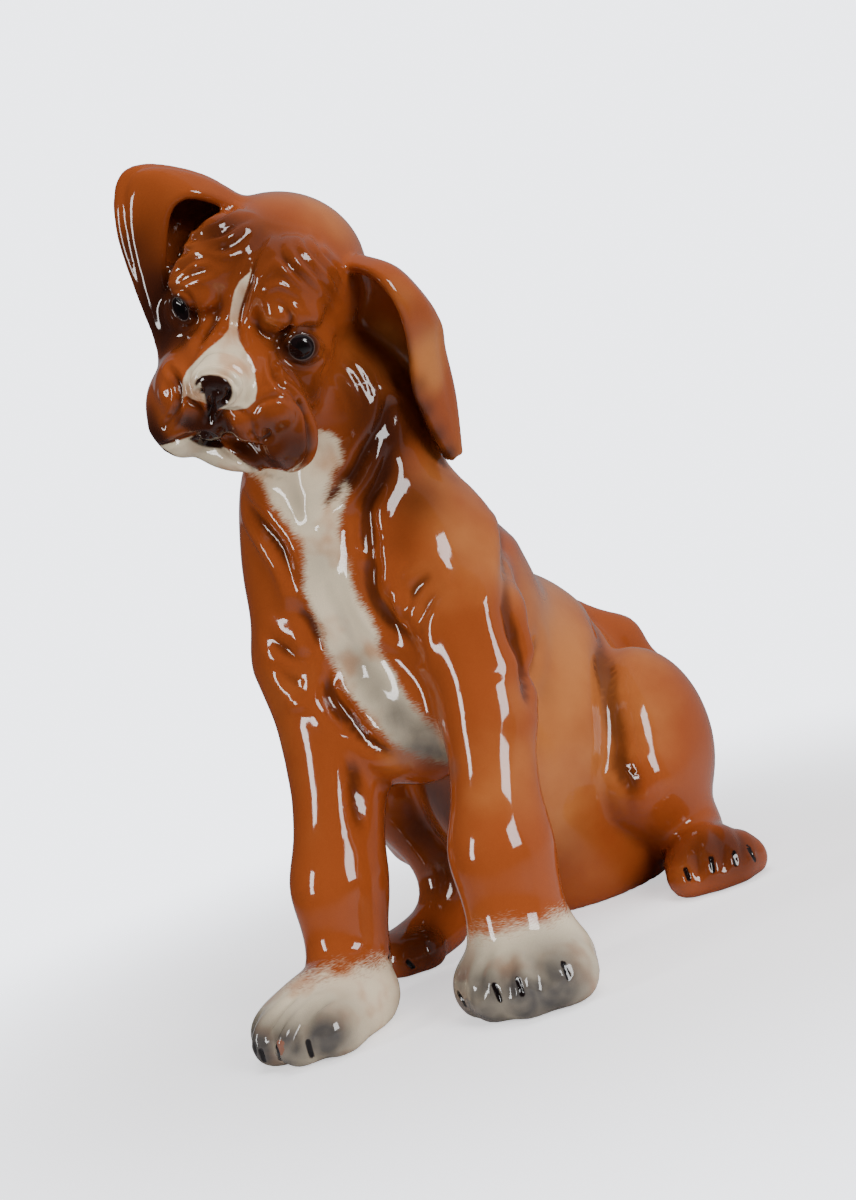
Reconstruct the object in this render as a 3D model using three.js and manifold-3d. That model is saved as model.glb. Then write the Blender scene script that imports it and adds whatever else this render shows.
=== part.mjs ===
// Seated puppy in glazed ceramic: one slip-cast shell that stands on its paws and rump.
// Millimetres, +Z up. The puppy looks along -Y and its own left side is +X.
// The body is modelled like clay: rounded masses run into each other with soft fillets,
// one skin is laid over them, and the thin ears are added as bent leaves.
import * as THREE from 'three';
import { mergeVertices } from 'three/addons/utils/BufferGeometryUtils.js';
import Module from 'manifold-3d';

// Driving sizes
const SKIN_STEP = 12; // spacing of the lattice that the skin is first laid on
const SKIN_LOW = [-121, -195, -43];
const SKIN_HIGH = [140, 200, 412];
const EDGE_BODY = 14; // longest edge of the skin on the trunk and legs
const EDGE_PAW = 8;
const EDGE_HEAD = 9.5;
const EDGE_FACE = 6;
const EAR_THICKNESS = 6;
const EAR_STATIONS = 13; // sections along an ear
const EAR_COLUMNS = 7; // points across an ear
const GLAZE_COLOUR = 0xa4501e;
// The figure is modelled round its spine, then moved so that the origin is under its middle
const STAND = [-12.9, -2.9, 0];

// The head is cocked over to the left: where its middle lies, how it is turned, and how much
// it twists from the muzzle back to the ears
const HEAD_CENTRE = new THREE.Vector3(13.4, -98.2, 351.9);
const HEAD_YAW = 1.9; // degrees about Z
const HEAD_NOD = 25.3; // degrees nose down
const HEAD_TILT = 33.8; // degrees over to the left
const HEAD_TWIST = 0.416; // degrees for each millimetre from front to back
const TWIST_START = -40;

// Softness of the joins, in millimetres: how far a fillet reaches
const SOFT_TRUNK = 36;
const SOFT_SHOULDER = 26;
const SOFT_FORELEG = 20;
const SOFT_HINDLEG = 12;
const SOFT_PAW = 14; // where a leg runs into its paw
const SOFT_NECK = 18;
const SOFT_LIMB = 18;
const SOFT_FACE = 8;
const SOFT_TOES = 15;
const SOFT_TAIL = 16;
const SOFT_EYE = 5;
const SOFT_NOSE = 3;

const rad = THREE.MathUtils.degToRad;

// A rounded mass: middle, half sizes along its own axes, and its turn in degrees about Z and X
function ball(middle, half, turn = [0, 0]) {
  const spin = new THREE.Matrix4().makeRotationFromEuler(new THREE.Euler(rad(turn[1]), 0, rad(turn[0]), 'ZXY'));
  const back = spin.clone().invert();
  const q = new THREE.Vector3();
  return (p) => {
    q.set(p.x - middle[0], p.y - middle[1], p.z - middle[2]).applyMatrix4(back);
    const near = Math.hypot(q.x / half[0], q.y / half[1], q.z / half[2]);
    const slope = Math.hypot(q.x / half[0] ** 2, q.y / half[1] ** 2, q.z / half[2] ** 2) + 1e-9;
    return (near * (near - 1)) / slope;
  };
}

// A tapering round limb from one point to another
function limb(from, to, startRadius, endRadius) {
  const line = new THREE.Line3(new THREE.Vector3(...from), new THREE.Vector3(...to));
  const foot = new THREE.Vector3();
  return (p) => {
    const t = line.closestPointToPointParameter(p, true);
    line.at(t, foot);
    return p.distanceTo(foot) - THREE.MathUtils.lerp(startRadius, endRadius, t);
  };
}

// Joins two distances with a fillet
function fillet(a, b, soft) {
  const h = Math.max(soft - Math.abs(a - b), 0) / soft;
  return Math.min(a, b) - (h * h * h * soft) / 6;
}

function blend(masses, soft) {
  return (p) => masses.reduce((sum, mass) => fillet(sum, mass(p), soft), 1e3);
}

const bothSides = (make) => [make(1), make(-1)];

// Trunk, neck and shoulders
const trunk = blend([
  ball([0, -40, 212], [52, 46, 58]), // chest
  ball([-24, -50, 242], [38, 36, 54]), // right side of the neck, stretched by the tilt of the head
  ball([6, -60, 134], [34, 28, 33]), // breast, low between the forelegs
  ball([0, 2, 178], [55, 64, 68], [0, -35]), // ribs
  ball([0, 62, 106], [62, 82, 90], [0, -35]), // belly
  ball([0, 94, 34], [62, 72, 64]), // rump, cut flat by the floor
  limb([-2, -36, 232], [14, -58, 298], 44, 38), // neck
], SOFT_TRUNK);
const shoulders = blend([
  ball([42, -50, 196], [26, 34, 50]),
  ball([-44, -48, 200], [26, 34, 50]),
], 1);

// Paws: a pad and a row of toes, each toe given by its middle and its heading in degrees
function paw(middle, half, heading, toes, toeHalf) {
  const pads = toes.map(([x, y, turn]) => ball([x, y, toeHalf[2] - 0.8], toeHalf, [turn, 0]));
  return blend([ball(middle, half, [heading, 0]), ...pads], SOFT_TOES);
}

const leftForeleg = blend([
  limb([50, -62, 172], [55, -78, 130], 28, 20),
  limb([55, -78, 130], [53, -100, 70], 20, 22.5),
  limb([53, -100, 70], [53, -104, 36], 22.5, 24),
], SOFT_LIMB);
const rightForeleg = blend([
  limb([-46, -54, 176], [-40, -64, 128], 31, 25),
  limb([-40, -64, 128], [-44, -92, 66], 25, 22),
  limb([-44, -92, 66], [-46, -98, 34], 22, 21),
], SOFT_LIMB);
const leftForepaw = paw([55, -108, 15], [31, 32, 23], 0,
  [[31, -119, 14], [46, -130, 4], [64, -131, -4], [80, -121, -16]], [10.5, 15, 12.8]);
const rightForepaw = paw([-45, -124, 14], [29, 36, 22], -12,
  [[-68, -139, -30], [-59, -153, -20], [-43, -158, -10], [-27, -150, -2]], [10, 16, 12.8]);

// Hind legs: the left one lies out to the side, the right one stands under the belly
const leftHindleg = blend([
  ball([64, 86, 76], [36, 46, 54]), // haunch
  limb([66, 60, 60], [74, 82, 26], 28, 18),
  limb([74, 84, 20], [98, 52, 13], 16, 13),
], SOFT_LIMB);
const rightHindleg = blend([
  ball([-62, 80, 78], [36, 56, 54]), // haunch
  limb([-58, 44, 72], [-60, 6, 92], 36, 19),
  limb([-60, 6, 92], [-47, 22, 36], 18, 13),
  limb([-47, 22, 36], [-51, 6, 15], 13, 13),
], SOFT_LIMB);
const leftHindpaw = paw([95, 50, 11], [24, 28, 17], 52,
  [[88, 27, 44], [98, 34, 50], [107, 44, 56], [112, 57, 64]], [8.5, 12.5, 9.6]);
const rightHindpaw = paw([-54, -10, 9], [18, 32, 15], -6,
  [[-70, -30, -16], [-62, -38, -10], [-51, -39, -2], [-41, -32, 6]], [8, 11, 9.6]);

// Tail: starts at the floor and curls up over the left of the rump
const tail = blend([
  limb([0, 146, 40], [36, 160, 62], 24, 17),
  limb([36, 160, 62], [50, 152, 98], 17, 15),
  limb([50, 152, 98], [40, 145, 130], 15, 13),
  limb([40, 145, 130], [18, 129, 155], 13, 10),
  ball([20, 126, 100], [30, 26, 46]), // clay left between the tail and the rump
], SOFT_TAIL);

// Head, in its own frame: x to its left, y back, z up, from the middle of the skull
const skull = blend([
  ball([0, 6, 2], [42, 50, 44]),
  ball([4, 18, 8], [34, 34, 34]), // back of the head
  ...bothSides((side) => ball([14 * side, -22, 22], [20, 24, 22])), // forehead
  ...bothSides((side) => ball([22 * side, -34, 14], [14, 12, 10])), // brows
  ...bothSides((side) => ball([28 * side, -4, -24], [18, 28, 26])), // cheeks
  ...bothSides((side) => ball([27 * side, -22, -5], [14, 17, 15])), // around the eyes
  ...bothSides((side) => ball([25 * side, -24, -24], [16, 26, 20])), // front of the cheeks
  ball([0, -40, -16], [24, 32, 20]), // muzzle
  ...bothSides((side) => ball([18 * side, -54, -26], [18, 19, 17])), // whisker pads
  ...bothSides((side) => ball([26 * side, -49, -43], [16.5, 19, 20.5])), // hanging lips
  ...bothSides((side) => ball([9 * side, -62, -33], [10, 11, 12])), // front of the upper lip
  ball([0, -66, -14], [13, 12, 12]),
  ball([0, -44, -57], [24, 20, 11]), // chin
], SOFT_FACE);
const eyeballs = blend(bothSides((side) => ball([28.5 * side, -33.5, -2.5], [10, 9.5, 9.5])), 1);
const nosePad = ball([0, -73, -11], [12.5, 7.5, 8]);

const headTurn = new THREE.Quaternion()
  .setFromEuler(new THREE.Euler(rad(HEAD_NOD), rad(HEAD_TILT), rad(HEAD_YAW), 'ZXY'));
const headBack = headTurn.clone().invert();
const headPoint = new THREE.Vector3();

function toHead(p, out) {
  out.copy(p).sub(HEAD_CENTRE).applyQuaternion(headBack);
  const angle = -rad(HEAD_TWIST * (out.y - TWIST_START));
  const x = out.x * Math.cos(angle) + out.z * Math.sin(angle);
  const z = -out.x * Math.sin(angle) + out.z * Math.cos(angle);
  return out.set(x, out.y, z);
}

function head(p) {
  const q = toHead(p, headPoint);
  let d = skull(q);
  if (d > 40) {
    return d;
  }
  d = fillet(d, eyeballs(q), SOFT_EYE);
  return fillet(d, nosePad(q), SOFT_NOSE);
}

// The whole figure without its ears: distance from a point to the skin, less than zero inside
function figure(p) {
  let d = fillet(trunk(p), shoulders(p), SOFT_SHOULDER);
  d = fillet(d, fillet(leftForeleg(p), leftForepaw(p), SOFT_PAW), SOFT_FORELEG);
  d = fillet(d, fillet(rightForeleg(p), rightForepaw(p), SOFT_PAW), SOFT_FORELEG);
  d = fillet(d, fillet(leftHindleg(p), leftHindpaw(p), SOFT_PAW), SOFT_HINDLEG);
  d = fillet(d, fillet(rightHindleg(p), rightHindpaw(p), SOFT_PAW), SOFT_HINDLEG);
  d = fillet(d, tail(p), SOFT_TAIL);
  return fillet(d, head(p), SOFT_NECK);
}

// Longest edge allowed at a place: short on the face and the paws, long on the trunk
const fineMiddles = [[55, -118, 10], [-48, -138, 10], [98, 44, 8], [-56, -24, 8], [32, 145, 140]];
const sizePoint = new THREE.Vector3();

function edgeLimit(p) {
  if (fineMiddles.some(([x, y, z]) => Math.hypot(p.x - x, p.y - y, p.z - z) < 36)) {
    return EDGE_PAW;
  }
  const q = toHead(p, sizePoint);
  if (q.y < -30 && Math.abs(q.x) < 46 && q.z > -66 && q.z < 16) {
    return EDGE_FACE;
  }
  return q.length() < 62 ? EDGE_HEAD : EDGE_BODY;
}

// Which crossed edges of a lattice cell share a sheet of skin, for each pattern of corners inside.
// Corner n lies at the bits of n, and an edge is named by its axis and its lower corner.
const edgeName = (axis, corner) => axis * 8 + corner;

function sheetsOf(pattern) {
  const tied = [0, 1, 2, 3, 4, 5, 6, 7];
  const root = (n) => (tied[n] === n ? n : root(tied[n]));
  const inside = (n) => ((pattern >> n) & 1) === 1;
  const tie = (a, b) => {
    tied[root(a)] = root(b);
  };
  const edges = [];
  for (let axis = 0; axis < 3; axis += 1) {
    for (let corner = 0; corner < 8; corner += 1) {
      const next = corner | (1 << axis);
      if (next !== corner && inside(next) === inside(corner)) {
        tie(corner, next);
      } else if (next !== corner) {
        edges.push([edgeName(axis, corner), corner, next]);
      }
    }
  }
  // Where a face has its inside corners at opposite ends, only the outside pair is tied
  for (let axis = 0; axis < 3; axis += 1) {
    const u = 1 << ((axis + 1) % 3);
    const v = 1 << ((axis + 2) % 3);
    [0, 1 << axis].forEach((base) => {
      const ring = [base, base | u, base | u | v, base | v];
      const [p, q, r, s] = ring.map(inside);
      if (p === r && q === s && p !== q) {
        tie(ring[p ? 1 : 0], ring[p ? 3 : 2]);
      }
    });
  }
  const names = [];
  const sheets = new Array(24).fill(-1);
  edges.forEach(([edge, a, b]) => {
    const name = inside(a) ? root(a) * 8 + root(b) : root(b) * 8 + root(a);
    if (!names.includes(name)) {
      names.push(name);
    }
    sheets[edge] = names.indexOf(name);
  });
  return { edges, sheets, number: names.length };
}

// First skin: one point for every sheet in every lattice cell, joined into faces round the edges
function layLattice(distance, low, high, step) {
  const count = low.map((start, axis) => Math.ceil((high[axis] - start) / step) + 1);
  const stride = [1, count[0], count[0] * count[1]];
  const place = (n) => [n % count[0], Math.floor(n / stride[1]) % count[1], Math.floor(n / stride[2])]
    .map((steps, axis) => low[axis] + steps * step);
  const values = new Float64Array(count[0] * count[1] * count[2]);
  const p = new THREE.Vector3();
  values.forEach((_, n) => {
    values[n] = distance(p.set(...place(n)));
  });
  const cornerShift = [0, 1, 2, 3, 4, 5, 6, 7]
    .map((bits) => (bits & 1) + ((bits >> 1) & 1) * stride[1] + ((bits >> 2) & 1) * stride[2]);
  const table = Array.from({ length: 256 }, (_, pattern) => sheetsOf(pattern));
  const points = [];
  const firstPoint = new Map();
  const patterns = new Map();
  values.forEach((_, cell) => {
    if (place(cell + cornerShift[7]).some((end, axis) => end > high[axis] + step)) {
      return;
    }
    const corners = cornerShift.map((shift) => values[cell + shift]);
    const pattern = corners.reduce((sum, value, n) => sum + (value < 0 ? 1 << n : 0), 0);
    const { edges, sheets, number } = table[pattern];
    if (number === 0) {
      return;
    }
    patterns.set(cell, pattern);
    firstPoint.set(cell, points.length);
    const sums = Array.from({ length: number }, () => ({ middle: new THREE.Vector3(), crossings: 0 }));
    edges.forEach(([edge, a, b]) => {
      const t = corners[a] / (corners[a] - corners[b]);
      const from = new THREE.Vector3(...place(cell + cornerShift[a]));
      const to = new THREE.Vector3(...place(cell + cornerShift[b]));
      sums[sheets[edge]].middle.add(from.lerp(to, t));
      sums[sheets[edge]].crossings += 1;
    });
    sums.forEach(({ middle, crossings }) => points.push(middle.divideScalar(crossings)));
  });
  const faces = [];
  values.forEach((value, here) => {
    for (let axis = 0; axis < 3; axis += 1) {
      const inside = value < 0;
      const other = values[here + stride[axis]];
      if (other !== undefined && inside !== (other < 0)) {
        const [u, v] = [(axis + 1) % 3, (axis + 2) % 3];
        const ring = [[1, 1], [0, 1], [0, 0], [1, 0]].map(([du, dv]) => {
          const cell = here - du * stride[u] - dv * stride[v];
          const { sheets } = table[patterns.get(cell)];
          return firstPoint.get(cell) + sheets[edgeName(axis, (du << u) | (dv << v))];
        });
        const [a, b, c, d] = inside ? ring : ring.reverse();
        faces.push([a, b, c], [a, c, d]);
      }
    }
  });
  return { points, faces };
}

// Moves a point onto the skin along the steepest way
const probe = new THREE.Vector3();

function settle(p, rounds = 4) {
  for (let round = 0; round < rounds; round += 1) {
    const d = figure(p);
    const slope = ['x', 'y', 'z'].map((axis) => {
      probe.copy(p)[axis] += 0.3;
      return (figure(probe) - d) / 0.3;
    });
    const steep = slope[0] ** 2 + slope[1] ** 2 + slope[2] ** 2 + 1e-6;
    const move = THREE.MathUtils.clamp(d / steep, -6, 6);
    p.x -= slope[0] * move;
    p.y -= slope[1] * move;
    p.z -= slope[2] * move;
  }
  return p;
}

// Evens the mesh out: every point drifts to the middle of its neighbours and settles again
function relax(skin, rounds) {
  const neighbours = skin.points.map(() => new Set());
  skin.faces.forEach(([a, b, c]) => {
    neighbours[a].add(b).add(c);
    neighbours[b].add(a).add(c);
    neighbours[c].add(a).add(b);
  });
  for (let round = 0; round < rounds; round += 1) {
    const middles = neighbours.map((ring) => {
      const sum = new THREE.Vector3();
      ring.forEach((n) => sum.add(skin.points[n]));
      return sum.divideScalar(ring.size);
    });
    skin.points.forEach((point, n) => settle(point.lerp(middles[n], 0.5), 2));
  }
}

// Splits every edge that is longer than its limit, and the faces beside it to suit
function refine(skin) {
  const middleOf = new Map();
  const split = (a, b) => {
    const key = a < b ? `${a}_${b}` : `${b}_${a}`;
    if (!middleOf.has(key)) {
      const middle = skin.points[a].clone().lerp(skin.points[b], 0.5);
      const long = skin.points[a].distanceTo(skin.points[b]) > 1.35 * edgeLimit(middle);
      middleOf.set(key, long ? skin.points.push(settle(middle)) - 1 : -1);
    }
    return middleOf.get(key);
  };
  const faces = [];
  skin.faces.forEach((face) => {
    const cuts = face.map((corner, n) => split(corner, face[(n + 1) % 3]));
    const number = cuts.filter((cut) => cut >= 0).length;
    let turn = 0;
    if (number === 1) {
      turn = cuts.findIndex((cut) => cut >= 0);
    } else if (number === 2) {
      turn = (cuts.findIndex((cut) => cut < 0) + 1) % 3;
    }
    const [a, b, c] = [0, 1, 2].map((n) => face[(n + turn) % 3]);
    const [ab, bc, ca] = [0, 1, 2].map((n) => cuts[(n + turn) % 3]);
    if (number === 0) {
      faces.push([a, b, c]);
    } else if (number === 1) {
      faces.push([a, ab, c], [ab, b, c]);
    } else if (number === 2) {
      faces.push([ab, b, bc], [a, ab, bc], [a, bc, c]);
    } else {
      faces.push([a, ab, ca], [ab, b, bc], [ca, bc, c], [ab, bc, ca]);
    }
  });
  return { points: skin.points, faces };
}

// Ears: each one is a leaf between three curves that run from the skull to the tip
const nearEar = {
  front: [[60, -96, 350], [73, -102, 342], [79, -100, 331], [78, -93, 319], [72, -83, 306],
    [65, -75, 286], [56, -47, 255]],
  crest: [[60, -85, 352], [73, -83, 342], [79, -76, 326], [78, -65, 314], [74, -58, 304],
    [68, -48, 283], [60, -42, 254]],
  rear: [[46, -78, 341], [43, -68, 333], [40, -60, 321], [41, -53, 306], [51, -43, 293],
    [50, -39, 271], [53, -39, 256]],
};
const farEar = {
  front: [[20, -113, 391], [16, -130, 397], [9, -138, 400], [0, -140, 397], [-9, -138, 386],
    [-18, -137, 364], [-27, -133, 342]],
  crest: [[18, -103, 392], [8, -119, 406], [-11, -131, 416], [-22, -136, 413], [-27, -139, 393],
    [-28, -136, 366], [-29, -131, 344]],
  rear: [[2, -92, 384], [-6, -92, 380], [-14, -96, 376], [-20, -100, 369], [-23, -106, 360],
    [-24, -114, 352], [-27, -124, 346]],
};

function leaf(curves) {
  const [front, crest, rear] = [curves.front, curves.crest, curves.rear]
    .map((points) => new THREE.CatmullRomCurve3(points.map((point) => new THREE.Vector3(...point))));
  const place = (s, t) => new THREE.Vector3()
    .addScaledVector(front.getPoint(t), 2 * (s - 0.5) * (s - 1))
    .addScaledVector(crest.getPoint(t), 4 * s * (1 - s))
    .addScaledVector(rear.getPoint(t), 2 * s * (s - 0.5));
  const side = (s, t, sign) => {
    const along = place(s, Math.min(t + 0.01, 1)).sub(place(s, Math.max(t - 0.01, 0)));
    const across = place(Math.min(s + 0.01, 1), t).sub(place(Math.max(s - 0.01, 0), t));
    const rim = Math.sqrt(Math.max(1 - (2 * s - 1) ** 8, 0.12));
    const normal = along.cross(across).normalize();
    return place(s, t).addScaledVector(normal, sign * rim * EAR_THICKNESS / 2);
  };
  // A thin box whose two faces are bent onto the two sides of the leaf
  const box = new THREE.BoxGeometry(1, 1, 1, EAR_COLUMNS - 1, EAR_STATIONS - 1, 1);
  box.deleteAttribute('normal');
  box.deleteAttribute('uv');
  const position = box.attributes.position;
  for (let n = 0; n < position.count; n += 1) {
    const s = position.getX(n) + 0.5;
    const t = position.getY(n) + 0.5;
    const bent = side(s, t, position.getZ(n) > 0 ? -1 : 1);
    position.setXYZ(n, bent.x, bent.y, bent.z);
  }
  return mergeVertices(box, 1e-3);
}

// Solids: joining and cutting closed meshes
const wasm = await Module();
wasm.setup();

function toSolid(geometry) {
  return new wasm.Manifold(new wasm.Mesh({
    numProp: 3,
    vertProperties: new Float32Array(geometry.attributes.position.array),
    triVerts: new Uint32Array(geometry.index.array),
  }));
}

function toGeometry(solid) {
  const mesh = solid.getMesh();
  const geometry = new THREE.BufferGeometry();
  geometry.setAttribute('position', new THREE.BufferAttribute(mesh.vertProperties, 3));
  geometry.setIndex(new THREE.BufferAttribute(mesh.triVerts, 1));
  geometry.computeVertexNormals();
  return geometry;
}

function skinGeometry() {
  let skin = layLattice(figure, SKIN_LOW, SKIN_HIGH, SKIN_STEP);
  relax(skin, 3);
  for (let round = 0; round < 3; round += 1) {
    skin = refine(skin);
    relax(skin, 1);
  }
  const geometry = new THREE.BufferGeometry();
  const positions = skin.points.flatMap((point) => [point.x, point.y, point.z]);
  geometry.setAttribute('position', new THREE.Float32BufferAttribute(positions, 3));
  geometry.setIndex(skin.faces.flat());
  return geometry;
}

// Everything below the floor is cut away, which leaves flat soles and a flat rump
function aboveFloor() {
  const room = new THREE.BoxGeometry(600, 600, 600).translate(0, 0, 300);
  room.deleteAttribute('normal');
  room.deleteAttribute('uv');
  return toSolid(mergeVertices(room));
}

const casting = toSolid(skinGeometry())
  .add(toSolid(leaf(nearEar)))
  .add(toSolid(leaf(farEar)))
  .intersect(aboveFloor());

const glaze = new THREE.MeshStandardMaterial({ color: GLAZE_COLOUR, roughness: 0.12, metalness: 0 });
const puppy = new THREE.Mesh(toGeometry(casting), glaze);
puppy.name = 'puppy';
puppy.position.set(...STAND);

const figurine = new THREE.Group();
figurine.add(puppy);

export default figurine;
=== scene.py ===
import math

import bmesh
import bpy
import numpy as np
from mathutils import Matrix, Vector
from mathutils.bvhtree import BVHTree


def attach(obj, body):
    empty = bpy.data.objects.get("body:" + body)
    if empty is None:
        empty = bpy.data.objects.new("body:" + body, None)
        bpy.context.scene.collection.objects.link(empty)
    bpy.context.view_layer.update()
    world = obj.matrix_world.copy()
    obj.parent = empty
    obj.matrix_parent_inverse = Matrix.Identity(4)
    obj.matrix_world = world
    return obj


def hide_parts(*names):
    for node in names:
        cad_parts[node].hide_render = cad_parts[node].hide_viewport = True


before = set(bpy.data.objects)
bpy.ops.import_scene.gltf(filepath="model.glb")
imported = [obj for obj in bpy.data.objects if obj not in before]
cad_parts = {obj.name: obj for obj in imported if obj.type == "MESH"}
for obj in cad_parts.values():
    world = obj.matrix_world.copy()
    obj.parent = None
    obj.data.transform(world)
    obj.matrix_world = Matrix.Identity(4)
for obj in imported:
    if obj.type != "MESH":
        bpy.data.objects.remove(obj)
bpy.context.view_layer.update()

# A seated boxer puppy in glazed ceramic, life size: one hollow slip casting, painted under a
# clear gloss glaze. The clay is worked in millimetres with the spine over the origin, and is
# moved by STAND into the frame at the end. The puppy looks along -Y; its own left is +X.

bl_info = {
    "name": "Ceramic puppy figurine",
    "version": (1, 0, 0),
    "blender": (4, 5, 0),
    "location": "3D View > Sidebar > Puppy",
    "description": "Models a glazed ceramic puppy and the pale studio that it stands in",
    "category": "Add Mesh",
}

MM = 0.001
STAND = np.array([-12.9, -2.9, 0.0])


def linear(hex_colour):
    """sRGB hex to linear RGBA."""
    values = [int(hex_colour[i:i + 2], 16) / 255 for i in (0, 2, 4)]
    return (*[v / 12.92 if v <= 0.04045 else ((v + 0.055) / 1.055) ** 2.4 for v in values], 1.0)


# ---------------------------------------------------------------- sizes and colours to change


class PuppySizes(bpy.types.PropertyGroup):
    skin: bpy.props.FloatProperty(
        name="Skin spacing", description="Mesh spacing on the trunk, in millimetres",
        default=3.9, min=2.0, max=6.0)
    fold_depth: bpy.props.FloatProperty(
        name="Fold depth", description="How deep wrinkles and creases are carved, times the real depth",
        default=1.0, min=0.0, max=2.0, subtype="FACTOR")
    ear_wall: bpy.props.FloatProperty(
        name="Ear wall", description="Thickness of the ears, in millimetres", default=5.4, min=3.0, max=8.0)
    floor_width: bpy.props.FloatProperty(
        name="Floor width", description="Width of the studio floor", default=6.0, unit="LENGTH")


class PuppyColours(bpy.types.PropertyGroup):
    chestnut: bpy.props.FloatVectorProperty(
        name="Chestnut", description="Main colour of the coat", size=4, subtype="COLOR",
        default=linear("964820"), min=0, max=1)
    # Tan also lightens the inside of the near ear as painted light
    tan: bpy.props.FloatVectorProperty(
        name="Tan", description="Lighter coat of the back and flanks", size=4, subtype="COLOR",
        default=linear("BE763E"), min=0, max=1)
    # Umber is also painted shade: in carved creases, inside the ears, under the near ear and between the
    # forelegs
    umber: bpy.props.FloatVectorProperty(
        name="Umber", description="Dark airbrushed brown of the lips, ears and hind feet", size=4,
        subtype="COLOR", default=linear("38180D"), min=0, max=1)
    cream: bpy.props.FloatVectorProperty(
        name="Cream", description="White of the blaze, chest and front feet", size=4, subtype="COLOR",
        default=linear("E9D7B8"), min=0, max=1)
    # Slate is also painted shade on the white chest and in the carved creases of the white
    slate: bpy.props.FloatVectorProperty(
        name="Slate", description="Grey airbrushed over the white", size=4, subtype="COLOR",
        default=linear("4B4744"), min=0, max=1)
    ink: bpy.props.FloatVectorProperty(
        name="Ink", description="Near black of the nose, eyes and claws", size=4, subtype="COLOR",
        default=linear("100A0A"), min=0, max=1)


# ---------------------------------------------------------------- camera at the photo's angle

PICTURE = (856, 1200)
LENS = 50.0
SENSOR = 36.0
CAMERA_TURN = 27.5  # degrees from the puppy's front towards its left
CAMERA_DROP = 1.8  # degrees looking down
CAMERA_ROLL = 16.0
CAMERA_REACH = 890.0  # mm from the spine, along the floor
CAMERA_HEIGHT = 216.0
MIRRORED_ROOM = 0.5  # how bright the glaze mirrors the room, against its light
BRIGHT_WAY = (0.369, 0.893, 0.259)  # middle of the lit half of the studio; the camera's side is dark
BACKDROP_LEVEL = 4.3


def camera_axes():
    """Right, up and forward of the rolled camera, and its place in clay millimetres."""
    turn, drop, roll = (math.radians(a) for a in (CAMERA_TURN, CAMERA_DROP, CAMERA_ROLL))
    right = Vector((math.cos(turn), math.sin(turn), 0))
    level = Vector((-math.sin(turn), math.cos(turn), 0))
    forward = level * math.cos(drop) + Vector((0, 0, -math.sin(drop)))
    up = right.cross(forward)
    place = Vector((CAMERA_REACH * math.sin(turn), -CAMERA_REACH * math.cos(turn), CAMERA_HEIGHT))
    return (right * math.cos(roll) - up * math.sin(roll),
            right * math.sin(roll) + up * math.cos(roll), forward, place)


# ---------------------------------------------------------------- clay masses, as in the solid


def ball(p, middle, half, turn=(0, 0)):
    """Distance to a rounded mass: middle, half sizes, turn in degrees about Z and X."""
    spin = Matrix.Rotation(math.radians(turn[0]), 3, "Z") @ Matrix.Rotation(math.radians(turn[1]), 3, "X")
    q = (p - middle) @ np.array(spin)
    near = np.linalg.norm(q / half, axis=1)
    return near * (near - 1) / (np.linalg.norm(q / np.square(half), axis=1) + 1e-9)


def limb(p, start, end, start_radius, end_radius):
    """Distance to a tapering round limb."""
    axis = np.subtract(end, start).astype(float)
    t = np.clip((p - start) @ axis / (axis @ axis), 0, 1)
    gap = np.linalg.norm(p - start - t[:, None] * axis, axis=1)
    return gap - start_radius - (end_radius - start_radius) * t


def fillet(a, b, soft):
    """Joins two distances with a rounded inner corner."""
    h = np.maximum(soft - np.abs(a - b), 0) / soft
    return np.minimum(a, b) - h ** 3 * soft / 6


def hollow(a, b, soft):
    """Cuts b out of a with a rounded lip."""
    return -fillet(-a, b, soft)


def blend(p, masses, soft):
    distance = np.full(len(p), 1e3)
    for shape, *sizes in masses:
        distance = fillet(distance, shape(p, *sizes), soft)
    return distance


def both_sides(shape, middle, half):
    return [(shape, (side * middle[0], middle[1], middle[2]), half) for side in (1, -1)]


def chain(*joints):
    """Limbs from joint to joint; a joint is its x, y, z and radius."""
    return [(limb, start[:3], end[:3], start[3], end[3]) for start, end in zip(joints, joints[1:])]


TRUNK = [
    (ball, (0, -40, 212), (52, 46, 58)),  # chest
    (ball, (-24, -50, 242), (38, 36, 54)),  # right of the neck, stretched
    (ball, (6, -60, 134), (34, 28, 33)),  # breast, low between the forelegs
    (ball, (0, 2, 178), (55, 64, 68), (0, -35)),  # ribs
    (ball, (0, 62, 106), (62, 82, 90), (0, -35)),  # belly
    (ball, (0, 94, 34), (62, 72, 64)),  # rump
    (limb, (-2, -36, 232), (14, -58, 298), 44, 38),  # neck
]
SHOULDERS = [
    (ball, (42, -50, 196), (26, 34, 50)),
    (ball, (-44, -48, 200), (26, 34, 50)),
]
LEFT_FORELEG = chain((50, -62, 172, 28), (55, -78, 130, 20), (53, -100, 70, 22.5), (53, -104, 36, 24))
RIGHT_FORELEG = chain((-46, -54, 176, 31), (-40, -64, 128, 25), (-44, -92, 66, 22), (-46, -98, 34, 21))
LEFT_HINDLEG = [
    (ball, (64, 86, 76), (36, 46, 54)),
    (limb, (66, 60, 60), (74, 82, 26), 28, 18),
    (limb, (74, 84, 20), (98, 52, 13), 16, 13),
]
RIGHT_HINDLEG = [
    (ball, (-62, 80, 78), (36, 56, 54)),
    *chain((-58, 44, 72, 36), (-60, 6, 92, 19)),
    *chain((-60, 6, 92, 18), (-47, 22, 36, 13), (-51, 6, 15, 13)),
]
TAIL = [
    *chain((0, 146, 40, 24), (36, 160, 62, 17), (50, 152, 98, 15), (40, 145, 130, 13), (18, 129, 155, 10)),
    (ball, (20, 126, 100), (30, 26, 46)),  # clay left between the tail and the rump
]

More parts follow.
